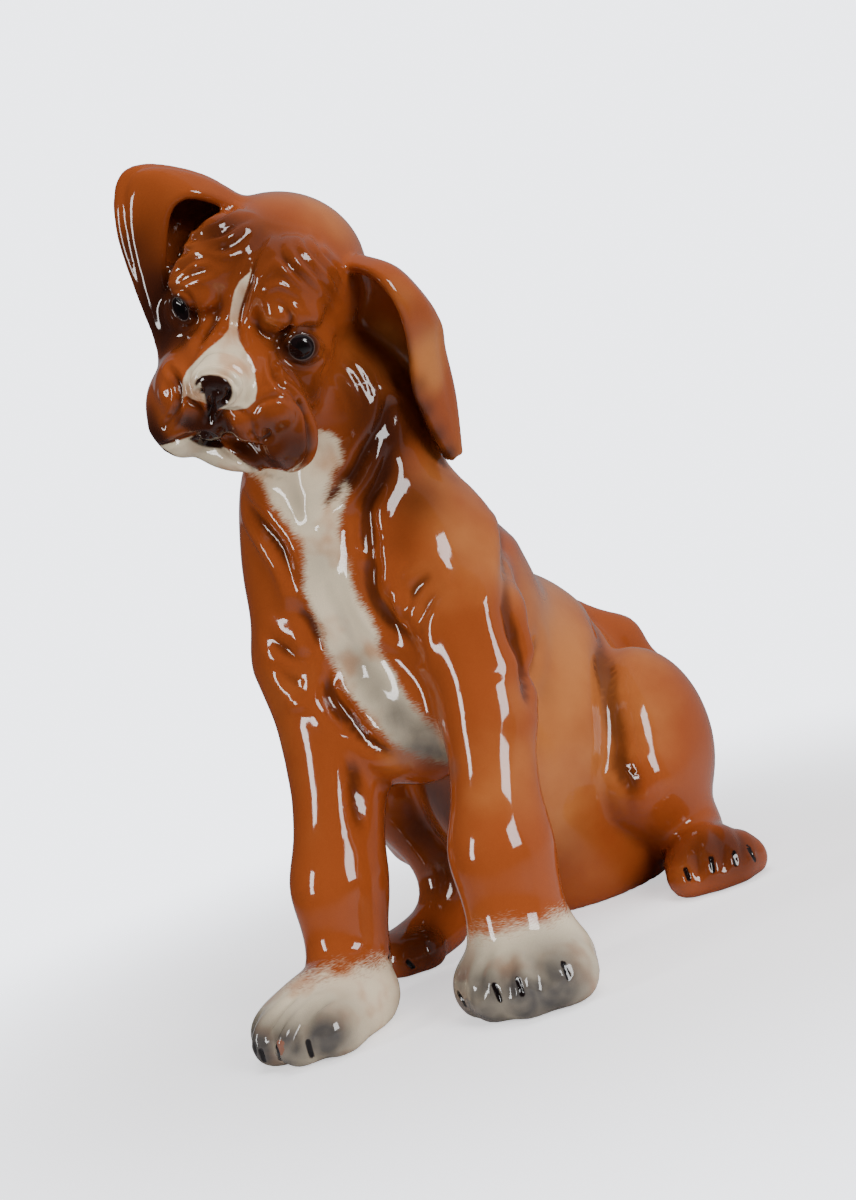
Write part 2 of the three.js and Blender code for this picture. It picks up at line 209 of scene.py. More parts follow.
# How softly masses run together, in mm
TRUNK_SOFT, SHOULDER_SOFT, LIMB_SOFT, ANKLE_SOFT, TOE_SOFT = 36, 26, 18, 14, 15
FORELEG_ROOT, HINDLEG_ROOT, TAIL_SOFT, HEAD_SOFT, EAR_SOFT = 20, 12, 16, 18, 7
SKULL_SOFT, EYE_SOFT, NOSE_SOFT = 8, 5, 3
APART = 1  # for masses that hardly touch each other
FLOOR_LIP = 3.0  # rounding where the casting is cut off at the floor


def paw(middle, half, heading, toes, toe_half):
    """A pad and its toes; a toe is its x, y and heading."""
    pads = [(ball, (x, y, toe_half[2] - 0.8), toe_half, (turn, 0)) for x, y, turn in toes]
    return [(ball, middle, half, (heading, 0)), *pads]


LEFT_FOREPAW = paw((55, -108, 15), (31, 32, 23), 0,
                   [(31, -119, 14), (46, -130, 4), (64, -131, -4), (80, -121, -16)], (10.5, 15, 12.8))
RIGHT_FOREPAW = paw((-45, -124, 14), (29, 36, 22), -12,
                    [(-68, -139, -30), (-59, -153, -20), (-43, -158, -10), (-27, -150, -2)], (10, 16, 12.8))
LEFT_HINDPAW = paw((95, 50, 11), (24, 28, 17), 52,
                   [(88, 27, 44), (98, 34, 50), (107, 44, 56), (112, 57, 64)], (8.5, 12.5, 9.6))
RIGHT_HINDPAW = paw((-54, -10, 9), (18, 32, 15), -6,
                    [(-70, -30, -16), (-62, -38, -10), (-51, -39, -2), (-41, -32, 6)], (8, 11, 9.6))

# The head in its own frame: x to its left, y back, z up, from the middle of the skull
HEAD_CENTRE = np.array([13.4, -98.2, 351.9])
HEAD_TWIST, TWIST_START = 0.416, -40.0  # degrees for each millimetre from front to back
HEAD_TURN = np.array(
    Matrix.Rotation(math.radians(1.9), 3, "Z") @ Matrix.Rotation(math.radians(25.3), 3, "X")
    @ Matrix.Rotation(math.radians(33.8), 3, "Y"))
SKULL = [
    (ball, (0, 6, 2), (42, 50, 44)),
    (ball, (4, 18, 8), (34, 34, 34)),  # back of the head
    *both_sides(ball, (14, -22, 22), (20, 24, 22)),  # forehead
    *both_sides(ball, (22, -34, 14), (14, 12, 10)),  # brows
    *both_sides(ball, (28, -4, -24), (18, 28, 26)),  # cheeks
    *both_sides(ball, (27, -22, -5), (14, 17, 15)),  # around the eyes
    *both_sides(ball, (25, -24, -24), (16, 26, 20)),  # front of the cheeks
    (ball, (0, -40, -16), (24, 32, 20)),  # muzzle
    *both_sides(ball, (18, -54, -26), (18, 19, 17)),  # whisker pads
    *both_sides(ball, (26, -49, -43), (16.5, 19, 20.5)),  # hanging lips
    *both_sides(ball, (9, -62, -33), (10, 11, 12)),  # front of the upper lip
    (ball, (0, -66, -14), (13, 12, 12)),
    (ball, (0, -44, -57), (24, 20, 11)),  # chin
]
EYEBALLS = both_sides(ball, (28.5, -33.5, -2.5), (10, 9.5, 9.5))
NOSE_PAD = (ball, (0, -73, -11), (12.5, 7.5, 8))


def to_head(p):
    q = (p - HEAD_CENTRE) @ HEAD_TURN
    a = -np.radians(HEAD_TWIST * (q[:, 1] - TWIST_START))
    return np.stack([q[:, 0] * np.cos(a) + q[:, 2] * np.sin(a), q[:, 1],
                     -q[:, 0] * np.sin(a) + q[:, 2] * np.cos(a)], axis=1)


def from_head(points):
    q = np.atleast_2d(np.asarray(points, float))
    a = -np.radians(HEAD_TWIST * (q[:, 1] - TWIST_START))
    straight = np.stack([q[:, 0] * np.cos(a) - q[:, 2] * np.sin(a), q[:, 1],
                         q[:, 0] * np.sin(a) + q[:, 2] * np.cos(a)], axis=1)
    return straight @ HEAD_TURN.T + HEAD_CENTRE


def head(p):
    q = to_head(p)
    d = blend(q, SKULL, SKULL_SOFT)
    close = d < 40  # far from the skull the eyes and nose can't matter
    q = q[close]
    face = fillet(d[close], blend(q, EYEBALLS, APART), EYE_SOFT)
    d[close] = fillet(face, blend(q, [NOSE_PAD], APART), NOSE_SOFT)
    return d


# ---------------------------------------------------------------- ears: bent leaves

NEAR_EAR = {
    "front": [(60, -96, 350), (73, -102, 342), (79, -100, 331), (78, -93, 319), (72, -83, 306),
              (65, -75, 286), (57, -46, 256)],
    "crest": [(60, -85, 352), (73, -83, 342), (79, -76, 326), (78, -65, 314), (74, -58, 304),
              (68, -48, 283), (60, -42, 255)],
    "rear": [(46, -78, 341), (43, -68, 333), (40, -60, 321), (41, -53, 306), (51, -43, 293),
             (50, -39, 272), (54, -38, 257)],
}
FAR_EAR = {
    "front": [(20, -113, 391), (16, -130, 397), (9, -138, 400), (0, -140, 397), (-9, -138, 386),
              (-18, -137, 364), (-27, -133, 342)],
    "crest": [(18, -103, 392), (8, -119, 406), (-11, -131, 416), (-22, -136, 413), (-27, -139, 393),
              (-28, -136, 366), (-29, -131, 344)],
    "rear": [(2, -92, 384), (-6, -92, 380), (-14, -96, 376), (-20, -100, 369), (-23, -106, 360),
             (-24, -114, 352), (-27, -124, 346)],
}
# Each ear's curves, and its flutes: place across the ear, height in mm, width across
EARS = [(NEAR_EAR, [(0.3, 1.0, 0.08)]), (FAR_EAR, [(0.3, -2.0, 0.07), (0.42, 1.2, 0.06)])]
EAR_MARGIN = 16  # mm round an ear within which its distance is worked out
BEYOND_EAR = 60.0  # distance taken for every point outside that margin


def smooth_path(points, t):
    """Points at t, from 0 to 1, on a smooth curve through the given points."""
    points = np.asarray(points, float)
    last = len(points) - 1
    whole = np.clip((t * last).astype(int), 0, last - 1)
    u = (t * last - whole)[:, None]
    a, b, c, d = (points[np.clip(whole + k, 0, last)] for k in (-1, 0, 1, 2))
    return 0.5 * (2 * b + (c - a) * u + (2 * a - 5 * b + 4 * c - d) * u ** 2
                  + (3 * b - a - 3 * c + d) * u ** 3)


def ear_sheet(curves, flutes, spare=(0.0, 0.0)):
    """The middle sheet of an ear; flutes are soft folds that run down it, and spare widens it."""
    across, along = 25, 49
    sheet = bmesh.new()
    bmesh.ops.create_grid(sheet, x_segments=across - 1, y_segments=along - 1, size=0.5)
    flat = np.array([vert.co for vert in sheet.verts])
    s, t = flat[:, 0] * (1 + spare[0]) + 0.5, flat[:, 1] * (1 + spare[1]) + 0.5
    front, crest, rear = (smooth_path(curves[name], t) for name in ("front", "crest", "rear"))
    s = s[:, None]
    bent = front * 2 * (s - 0.5) * (s - 1) + crest * 4 * s * (1 - s) + rear * 2 * s * (s - 0.5)
    for vert, place in zip(sheet.verts, bent):
        vert.co = place
    sheet.normal_update()
    for place, depth, width in flutes:
        lift = depth * np.exp(-((s[:, 0] - place) / width) ** 2) * np.sin(np.pi * np.clip(t, 0, 1)) ** 0.5
        for vert, amount in zip(sheet.verts, lift):
            vert.co += vert.normal * float(amount)
    return sheet


def ear_leaf(sheet):
    points = places(sheet)
    return BVHTree.FromBMesh(sheet), points.min(axis=0) - EAR_MARGIN, points.max(axis=0) + EAR_MARGIN


def ear_distance(p, leaf, wall):
    tree, low, high = leaf
    distance = np.full(len(p), BEYOND_EAR)
    for n in np.nonzero(np.all((p > low) & (p < high), axis=1))[0]:
        distance[n] = tree.find_nearest(Vector(p[n]))[3] - wall / 2
    return distance


class Clay:
    """The whole figure as one distance: less than zero inside."""

    def __init__(self, ear_wall):
        self.ear_wall = ear_wall
        self.ears = [ear_leaf(ear_sheet(curves, flutes)) for curves, flutes in EARS]

    def __call__(self, p):
        d = fillet(blend(p, TRUNK, TRUNK_SOFT), blend(p, SHOULDERS, APART), SHOULDER_SOFT)
        for leg, foot, root in ((LEFT_FORELEG, LEFT_FOREPAW, FORELEG_ROOT),
                                (RIGHT_FORELEG, RIGHT_FOREPAW, FORELEG_ROOT),
                                (LEFT_HINDLEG, LEFT_HINDPAW, HINDLEG_ROOT),
                                (RIGHT_HINDLEG, RIGHT_HINDPAW, HINDLEG_ROOT)):
            d = fillet(d, fillet(blend(p, leg, LIMB_SOFT), blend(p, foot, TOE_SOFT), ANKLE_SOFT), root)
        d = fillet(d, blend(p, TAIL, TAIL_SOFT), TAIL_SOFT)
        d = fillet(d, head(p), HEAD_SOFT)
        for leaf in self.ears:
            d = fillet(d, ear_distance(p, leaf, self.ear_wall), EAR_SOFT)
        return hollow(d, p[:, 2], FLOOR_LIP)

    def near_ears(self, p):
        inset = EAR_MARGIN - 4
        return np.any([np.all((p > low + inset) & (p < high - inset), axis=1)
                       for _, low, high in self.ears], axis=0)

    def settle(self, p, rounds):
        """Moves points onto the skin along the steepest way, a few millimetres at most each round."""
        probe, longest = 0.3, 4
        for _ in range(rounds):
            d = self(p)
            slope = np.stack([(self(p + step) - d) / probe for step in np.eye(3) * probe], axis=1)
            move = np.clip(d / (np.sum(slope ** 2, axis=1) + 1e-6), -longest, longest)
            p = p - slope * move[:, None]
        return p


# ---------------------------------------------------------------- skin mesh


def add_lump(blank, shape, *sizes, place=None):
    """A rough solid for one mass: a stretched ball, or a row of balls along a limb."""
    if shape is ball:
        middle, half, turn = sizes if len(sizes) == 3 else (*sizes, (0, 0))
        where = (Matrix.Translation(middle) @ Matrix.Rotation(math.radians(turn[0]), 4, "Z")
                 @ Matrix.Rotation(math.radians(turn[1]), 4, "X") @ Matrix.Diagonal((*half, 1)))
        lumps = [(where, 1.0, 4)]
    else:
        start, end, start_radius, end_radius = sizes
        lumps = [(Matrix.Translation(Vector(start).lerp(Vector(end), t)),
                  start_radius + (end_radius - start_radius) * t, 3) for t in np.linspace(0, 1, 7)]
    for where, radius, rounds in lumps:
        made = bmesh.ops.create_icosphere(blank, subdivisions=rounds, radius=radius, matrix=where)["verts"]
        if place:
            for vert in made:
                vert.co = Vector(place(vert.co)[0])


def evened(skin, spacing):
    """Lays one even net over everything that the mesh encloses."""
    mesh = bpy.data.meshes.new("blank")
    bmesh.ops.scale(skin, vec=Vector((MM, MM, MM)), verts=skin.verts)
    skin.to_mesh(mesh)
    blank = bpy.data.objects.new("blank", mesh)
    bpy.context.scene.collection.objects.link(blank)
    net = blank.modifiers.new("even net", "REMESH")
    net.mode = "VOXEL"
    net.voxel_size = spacing * MM
    ready = blank.evaluated_get(bpy.context.evaluated_depsgraph_get())
    skin.clear()
    skin.from_mesh(ready.to_mesh())
    ready.to_mesh_clear()
    bpy.data.objects.remove(blank)
    bpy.data.meshes.remove(mesh)
    bmesh.ops.scale(skin, vec=Vector((1 / MM, 1 / MM, 1 / MM)), verts=skin.verts)


def rough_skin(clay, spacing):
    """Every mass in the rough, run together, stood on the floor and netted evenly."""
    skin = bmesh.new()
    for masses in (TRUNK, SHOULDERS, LEFT_FORELEG, RIGHT_FORELEG, LEFT_HINDLEG, RIGHT_HINDLEG, TAIL,
                   LEFT_FOREPAW, RIGHT_FOREPAW, LEFT_HINDPAW, RIGHT_HINDPAW):
        for mass in masses:
            add_lump(skin, *mass)
    for mass in (*SKULL, *EYEBALLS, NOSE_PAD):
        add_lump(skin, *mass, place=from_head)
    for curves, flutes in EARS:
        leaf = ear_sheet(curves, flutes, spare=(0.12, 0.05))
        leaf.normal_update()
        for vert in leaf.verts:
            vert.co -= vert.normal * clay.ear_wall * 0.75
        bmesh.ops.solidify(leaf, geom=leaf.faces[:], thickness=-clay.ear_wall * 1.5)
        bmesh.ops.recalc_face_normals(leaf, faces=leaf.faces)
        mesh = bpy.data.meshes.new("ear")
        leaf.to_mesh(mesh)
        leaf.free()
        skin.from_mesh(mesh)
        bpy.data.meshes.remove(mesh)
    evened(skin, spacing)
    everything = skin.verts[:] + skin.edges[:] + skin.faces[:]
    bmesh.ops.bisect_plane(
        skin, geom=everything, plane_co=(0, 0, 0), plane_no=(0, 0, 1), clear_inner=True)
    bmesh.ops.holes_fill(skin, edges=[edge for edge in skin.edges if edge.is_boundary], sides=0)
    evened(skin, spacing)
    return skin


def places(skin):
    return np.array([vert.co for vert in skin.verts])


def put(skin, p):
    for vert, place in zip(skin.verts, p):
        vert.co = place


def relaxed(skin, clay, rounds, ears_only=False):
    """Every point drifts to the middle of its neighbours and settles on the clay again."""
    skin.verts.index_update()
    ends = np.array([[v.index for v in edge.verts] for edge in skin.edges])
    number = np.bincount(ends.ravel(), minlength=len(skin.verts))[:, None]
    p = places(skin)
    moved = clay.near_ears(p) if ears_only else np.ones(len(p), bool)
    for _ in range(rounds):
        total = np.zeros_like(p)
        np.add.at(total, ends[:, 0], p[ends[:, 1]])
        np.add.at(total, ends[:, 1], p[ends[:, 0]])
        p[moved] = clay.settle((0.5 * p + 0.5 * total / number)[moved], 2)
    put(skin, p)


def toe_tips():
    """The front of every toe, where its claw is."""
    for foot in (LEFT_FOREPAW, RIGHT_FOREPAW, LEFT_HINDPAW, RIGHT_HINDPAW):
        for _, (x, y, z), half, (turn, _) in foot[1:]:
            reach = 0.9 * half[1]
            yield x + math.sin(math.radians(turn)) * reach, y - math.cos(math.radians(turn)) * reach, z


# Middle and reach, in mm, of where the net is finer: the paws in clay places, the rest in head places
FINE_PAWS = [((55, -120, 12), 33), ((-48, -140, 12), 33), ((102, 42, 10), 26), ((-56, -30, 8), 22)]
FINEST_FACE = [((30, -42, -1), 12), ((-30, -42, -1), 11), ((0, -72, -14), 15)]


def spacing_at(p, spacing):
    """Wanted net spacing at each point: fine on the face, the ears and the claws."""
    q = to_head(p)
    finer = np.ones(len(p))
    finer[(np.linalg.norm(q, axis=1) < 80) & (q[:, 1] < 4)] = 2
    for curves in (NEAR_EAR, FAR_EAR):
        corners = np.array(curves["front"] + curves["crest"] + curves["rear"])
        finer[np.all((p > corners.min(axis=0) - 4) & (p < corners.max(axis=0) + 4), axis=1)] = 2
    for middle, reach in FINE_PAWS:
        finer[np.linalg.norm(p - middle, axis=1) < reach] = 2
    finer[(p[:, 1] < -56) & (p[:, 2] > 148) & (p[:, 2] < 310)] = 2  # throat and chest
    for tip in toe_tips():
        finer[np.linalg.norm(p - tip, axis=1) < 9] = 4
    finer[(q[:, 1] < -30) & (np.abs(q[:, 0]) < 43) & (q[:, 2] > -66) & (q[:, 2] < 34)] = 4
    for middle, reach in FINEST_FACE:
        finer[np.linalg.norm(q - middle, axis=1) < reach] = 8
    return spacing / finer


def refined(skin, spacing, level):
    """Splits the faces whose wanted spacing is finer than this level."""
    middles = np.array([face.calc_center_median() for face in skin.faces])
    split = spacing_at(middles, spacing) < 0.75 * spacing / level
    edges = {edge for face, fine in zip(skin.faces, split) if fine for edge in face.edges}
    bmesh.ops.subdivide_edges(skin, edges=list(edges), cuts=1, use_grid_fill=True)
    bmesh.ops.triangulate(skin, faces=[face for face in skin.faces if len(face.verts) > 4])


def modelled(clay, spacing):
    """The smooth figure before any carving, netted finely where there is detail to come."""
    skin = rough_skin(clay, spacing)
    put(skin, clay.settle(places(skin), 4))
    relaxed(skin, clay, 2)
    relaxed(skin, clay, 5, ears_only=True)
    for level in (1, 2, 4):
        refined(skin, spacing, level)
        relaxed(skin, clay, 1)
        if level == 1:
            relaxed(skin, clay, 3, ears_only=True)
    return skin


# ---------------------------------------------------------------- carving


class Caster:
    """Turns a point of the 856 by 1200 picture into a place on the skin."""

    def __init__(self, skin):
        self.tree = BVHTree.FromBMesh(skin)
        self.right, self.up, self.forward, self.eye = camera_axes()
        self.focal = LENS / SENSOR * PICTURE[1]

    def cast(self, x, y):
        way = (self.forward + self.right * ((x - PICTURE[0] / 2) / self.focal)
               - self.up * ((y - PICTURE[1] / 2) / self.focal)).normalized()
        hit = self.tree.ray_cast(self.eye, way)[0]
        if hit is not None:
            return hit
        near = [self.tree.find_nearest(self.eye + way * reach) for reach in range(700, 1130, 5)]
        return min(near, key=lambda found: found[3])[0]

    def path(self, points):
        """A smooth path on the skin through picture points (x, y) or clay points (x, y, z)."""
        points = np.asarray(points, float)
        if len(points) == 1:
            spread = points
        else:
            length = np.sum(np.linalg.norm(np.diff(points, axis=0), axis=1))
            spread = smooth_path(points, np.linspace(0, 1, max(4, int(length / 1.1))))
        if points.shape[1] == 2:
            path = np.array([self.cast(*point) for point in spread])
            for _ in range(2 if len(path) > 8 else 0):
                path[1:-1] = (path[:-2] + path[1:-1] * 2 + path[2:]) / 4
            return path
        return np.array([self.tree.find_nearest(Vector(point))[0] for point in spread])


def nearest_on(p, path, reach):
    """For the points within reach of a path: their numbers, distances and places along it."""
    low, high = path.min(axis=0) - reach, path.max(axis=0) + reach
    close = np.nonzero(np.all((p > low) & (p < high), axis=1))[0]
    gaps = np.linalg.norm(p[close, None, :] - path[None, :, :], axis=2)
    which = gaps.argmin(axis=1)
    return close, gaps[np.arange(len(close)), which], which / max(len(path) - 1, 1)


def stroke(p, path, depth, width, shoulder=0.0):
    """How far each point moves out for one stroke of the tool; shoulder lifts clay beside it."""
    move = np.zeros(len(p))
    close, gap, along = nearest_on(p, path, 4 * width)
    fade = np.ones(len(close))
    if len(path) > 1:  # a stroke thins out at both ends
        fade = np.clip(np.sin(np.pi * (0.06 + 0.88 * along)), 0, 1) ** 0.6
    lift = np.exp(-(gap / width) ** 2) - shoulder * np.exp(-((gap - 2.1 * width) / width) ** 2)
    move[close] = depth * fade * lift
    return move


def normals_of(skin):
    skin.normal_update()
    return np.array([vert.normal for vert in skin.verts])


# Strokes: depth in mm (out is +), width in mm, shoulder, then points of the 856 by 1200 picture
FORMS = [
    # shoulder in front of the back, and its elbow
    (-3.4, 6, 0.5, [(499, 520), (505, 575), (508, 610), (516, 640), (524, 668), (528, 700)]),
    (3.0, 9, 0.0, [(474, 470), (488, 520), (494, 570), (492, 604)]),
    # folds behind the elbow
    (-2.6, 4, 0.5, [(516, 634), (521, 650), (525, 672)]),
    (-2.2, 5, 0.5, [(538, 640), (531, 662), (526, 690)]),
    # haunch: the crease down its front, the flank fold and the dimple by the spine
    (-2.4, 7, 0.3, [(593, 618), (603, 645), (607, 680), (614, 720), (625, 770), (634, 815)]),
    (-1.8, 5, 0.4, [(612, 762), (626, 776), (638, 784)]),
    (-1.6, 7, 0.3, [(598, 655), (602, 668), (604, 676)]),
    # folds of the neck under the near ear, one crossing the throat
    (-4.4, 4.0, 0.5, [(394, 408), (391, 425), (388, 445), (384, 462), (376, 484), (369, 500), (366, 520),
         (366, 540)]),
    (-4.6, 3.6, 0.6, [(386, 404), (381, 422), (374, 438), (366, 453), (356, 472), (344, 487), (332, 498),
         (325, 508)]),
    (-2.0, 4, 0.5, [(408, 424), (404, 446), (396, 470), (390, 492)]),
    (2.0, 4, 0.2, [(349, 470), (343, 490), (333, 508), (325, 528), (322, 552)]),
    # near side of the chest: the long furrow beside the white, its side folds
    (-3.2, 4.5, 0.5, [(372, 530), (371, 556), (372, 584), (378, 606), (391, 623), (404, 634),
         (418, 650)]),
    (2.2, 5, 0.3, [(386, 540), (388, 562), (390, 586), (402, 604), (416, 616)]),
    (-2.8, 3.6, 0.5, [(432, 574), (420, 584), (411, 598), (408, 614), (412, 630)]),
    (-2.4, 3.4, 0.5, [(437, 590), (427, 602), (420, 618), (419, 634)]),
    (-2.0, 3.6, 0.5, [(398, 585), (392, 600), (400, 618)]),
    # middle of the breast
    (-1.8, 7, 0.3, [(322, 570), (336, 606), (352, 648), (370, 676), (392, 706), (414, 730), (436, 750)]),
    (2.4, 6, 0.2, [(300, 470), (306, 500), (308, 530), (314, 560)]),
    # far side of the chest
    (3.2, 6, 0.2, [(250, 488), (272, 512), (292, 540), (302, 575)]),
    (-2.6, 4, 0.4, [(246, 504), (262, 525), (282, 552), (292, 582)]),
    (2.8, 5, 0.2, [(246, 515), (262, 540), (280, 570), (288, 600)]),
    (-2.8, 4, 0.5, [(298, 610), (310, 622), (317, 640), (315, 660)]),
    (-2.6, 4, 0.5, [(270, 640), (284, 650), (298, 662), (308, 676)]),
    (-2.2, 4, 0.5, [(276, 664), (288, 676), (302, 686)]),
    (-3.6, 4.5, 0.5, [(331, 664), (328, 685), (334, 702), (350, 722), (370, 742), (392, 754)]),
    (-2.4, 5, 0.4, [(350, 752), (354, 772), (356, 800), (360, 830)]),
    (2.0, 4, 0.2, [(286, 706), (298, 704), (306, 708)]),
]
FACE_FORMS = [
    # brow bumps, bag under the far eye
    (1.8, 5, 0, [(207, 302)]), (2.2, 5, 0, [(275, 318)]), (1.2, 4.5, 0, [(186, 337), (193, 345)]),
    # jowls: the upper bump of each and the lower lobe of the near one
    (2.0, 6, 0, [(278, 417)]), (1.2, 6, 0, [(268, 452), (288, 457)]), (2.0, 5, 0, [(165, 393)]),
    (1.2, 5, 0, [(152, 430)]),
    # front pads of the lip
    (2.0, 4, 0, [(236, 421)]), (1.8, 4, 0, [(189, 407)]),
    # valley between the far eye and the bridge of the muzzle, and the fold round the near jowl
    (-2.2, 2.8, 0.3, [(219, 292), (218, 308), (212, 322), (205, 333), (198, 345)]),
    (-2.6, 2.4, 0.3, [(301, 404), (307, 418), (311, 434), (311, 449), (307, 461), (298, 470)]),
]
FACE = [
    # furrow beside the blaze and the ridge on its other side
    (-1.6, 2.0, 0.4, [(268, 228), (259, 247), (252, 267), (249, 284), (244, 300), (240, 316), (238, 331),
         (243, 346)]),
    (1.0, 2.2, 0.0, [(256, 248), (246, 266), (239, 280), (233, 297), (229, 315)]),
    # wrinkles of the far brow
    (-2.0, 2.0, 0.5, [(187, 233), (198, 229), (212, 222), (226, 213), (238, 209)]),
    (-2.0, 2.0, 0.5, [(179, 251), (190, 241), (204, 238), (221, 233), (235, 224), (249, 217)]),
    (-2.0, 2.0, 0.5, [(176, 262), (187, 252), (201, 247), (221, 248), (235, 243), (246, 234)]),
    (-2.0, 2.0, 0.5, [(172, 276), (181, 268), (195, 259), (209, 258), (222, 262)]),
    (-1.8, 1.9, 0.5, [(174, 285), (187, 276), (201, 271), (212, 268)]),
    # wrinkles of the near brow
    (-1.3, 2.0, 0.5, [(280, 231), (281, 247), (288, 262), (300, 276), (315, 289)]),
    (-1.3, 2.0, 0.5, [(291, 232), (296, 248), (306, 262), (321, 278), (332, 294), (337, 306)]),
    (-1.3, 2.0, 0.5, [(303, 234), (309, 247), (320, 261), (332, 275), (340, 291)]),
    (-1.3, 2.0, 0.5, [(316, 238), (322, 251), (334, 263), (343, 278)]),
    # the two ridges over the near brow bump, and the hollows beside it
    (1.3, 1.8, 0.4, [(263, 282), (267, 272), (275, 264), (285, 271), (294, 280), (302, 288)]),
    (1.2, 1.6, 0.4, [(266, 291), (273, 286), (281, 285), (292, 291), (304, 300)]),
    (-1.5, 1.8, 0.4, [(279, 303), (287, 310), (291, 321), (287, 332), (281, 339)]),
    (-1.2, 2.2, 0.2, [(261, 305), (258, 319), (260, 331), (267, 341)]),
    # brushed hair on the near cheek
    (-0.6, 1.5, 0.6, [(334, 360), (347, 371), (357, 386), (363, 402)]),
    (-0.6, 1.5, 0.6, [(344, 357), (357, 369), (366, 384), (371, 398)]),
    (-0.5, 1.5, 0.6, [(328, 374), (339, 385), (348, 399), (352, 412)]),
    (-0.5, 1.5, 0.6, [(354, 354), (367, 367), (375, 382), (379, 394)]),
    # near eye: rim of the lids, creases above, hollow below, outer corner
    (0.7, 1.0, 0.0, [(279, 348), (285, 339), (296, 334), (308, 335), (316, 341), (318, 348), (313, 356),
         (303, 361), (291, 359), (283, 354), (279, 348)]),
    (-0.5, 0.9, 0.0, [(284, 347), (289, 341), (298, 338), (308, 339), (313, 347), (309, 354), (301, 357),
         (291, 355), (284, 347)]),
    (-1.3, 1.4, 0.3, [(275, 343), (284, 333), (298, 328), (312, 330), (322, 338), (328, 348)]),
    (-0.8, 1.4, 0.3, [(300, 325), (311, 325), (321, 331), (329, 340)]),
    (-1.0, 1.8, 0.3, [(279, 357), (288, 365), (301, 369), (314, 366), (323, 357)]),
    (-1.2, 1.4, 0.3, [(320, 350), (327, 354), (327, 364), (322, 374)]),
    # far eye
    (1.0, 1.0, 0.0, [(172, 297), (178, 295), (184, 301), (189, 310), (192, 319), (188, 323), (181, 322),
         (175, 313), (171, 305), (172, 297)]),
    (-1.2, 1.2, 0.2, [(169, 290), (179, 289), (188, 294), (194, 304), (197, 316)]),
    # side of the muzzle: three folds from the eye to the jowl, and the arcs over the jowl's bump
    (-1.6, 1.6, 0.5, [(272, 357), (273, 368), (275, 378), (282, 389)]),
    (-1.2, 1.6, 0.5, [(277, 361), (287, 371), (296, 381), (303, 392)]),
    (-1.7, 1.6, 0.5, [(281, 387), (290, 392), (298, 402), (303, 417)]),
    (-1.2, 1.5, 0.5, [(252, 413), (258, 404), (268, 398), (281, 396), (292, 402), (298, 413),
         (298, 426)]),
    (-1.6, 1.4, 0.3, [(253, 434), (260, 440), (269, 436), (267, 430)]),
    (-1.2, 1.8, 0.3, [(250, 417), (253, 427), (253, 436)]),
    # far jowl
    (-2.2, 1.6, 0.5, [(168, 368), (176, 377), (180, 388), (180, 400), (175, 413), (165, 426)]),
    # flesh round the nose
    (-0.8, 1.8, 0.6, [(196, 366), (206, 354), (220, 350), (236, 353), (246, 362), (251, 374)]),
    (-0.9, 1.5, 0.5, [(191, 380), (196, 371), (207, 365), (220, 364), (234, 369), (243, 379), (245, 392),
         (240, 403)]),
    # nose: the cap, its rim, the far nostril's curl and hole, the near nostril, the split below
    (1.4, 2.2, 0.0, [(200, 381), (209, 379), (219, 380), (228, 384)]),
    (-1.2, 1.0, 0.3, [(193, 384), (197, 377), (206, 372), (218, 372), (229, 377), (236, 386)]),
    (1.3, 0.9, 0.0, [(205, 392), (206, 387), (202, 384), (197, 386), (195, 391), (198, 397), (203, 398)]),
    (-2.8, 1.1, 0.0, [(201, 390), (200, 392)]),
    (1.1, 1.1, 0.0, [(233, 386), (236, 393), (233, 400), (227, 404)]),
    (-2.6, 1.1, 0.1, [(228, 390), (229, 396), (225, 401), (220, 402)]),
    (-1.4, 1.6, 0.0, [(209, 391), (214, 392), (219, 392)]),
    (-1.9, 1.3, 0.3, [(211, 396), (211, 405), (210, 414), (209, 424)]),
    (-1.3, 1.3, 0.4, [(217, 420), (221, 413), (231, 409), (242, 411), (249, 418)]),
    (-1.3, 1.3, 0.3, [(186, 396), (197, 403), (204, 411), (208, 421)]),
    # lower edge of the lips
    (-1.7, 1.4, 0.3, [(156, 448), (166, 444), (177, 440), (188, 436), (199, 434), (209, 435),
         (217, 441)]),
    (-1.7, 1.4, 0.3, [(224, 449), (233, 456), (244, 464), (256, 471), (270, 476), (284, 479)]),
]
CLAWS = [
    [(458, 993), (462, 999), (465, 1005)], [(494, 985), (497, 993), (500, 1000)],
    [(517, 979), (520, 987), (522, 994)], [(563, 963), (566, 970), (569, 978)],
    [(254, 1045), (256, 1055)], [(261, 1051), (264, 1061)], [(276, 1045), (278, 1053), (280, 1060)],
    [(308, 1042), (310, 1050), (312, 1057)], [(390, 948), (390, 961)], [(685, 869), (689, 879)],
    [(711, 857), (713, 871)], [(734, 852), (736, 864)], [(748, 846), (755, 860)],
    [(408, 962), (413, 967)],
]
TOES = [
    # valleys between the toes
    (-1.6, 3.2, 0.3, [(475, 1000), (479, 975), (487, 955)]),
    (-1.6, 3.2, 0.3, [(510, 997), (508, 975), (507, 955)]),
    (-1.6, 3.2, 0.3, [(542, 990), (539, 970), (533, 950)]),
    (-1.5, 2.6, 0.4, [(259, 1054), (267, 1031), (283, 1009), (295, 998)]),
    (-1.5, 2.6, 0.4, [(268, 1060), (276, 1036), (292, 1014), (305, 1002)]),
    (-2.4, 2.8, 0.5, [(291, 1053), (297, 1031), (312, 1011), (328, 1000)]),
    (-1.4, 2.6, 0.3, [(700, 877), (698, 860), (691, 845)]),
    (-1.4, 2.6, 0.3, [(724, 868), (722, 848), (712, 828)]),
    (-1.4, 2.6, 0.3, [(744, 860), (742, 840), (731, 822)]),
]


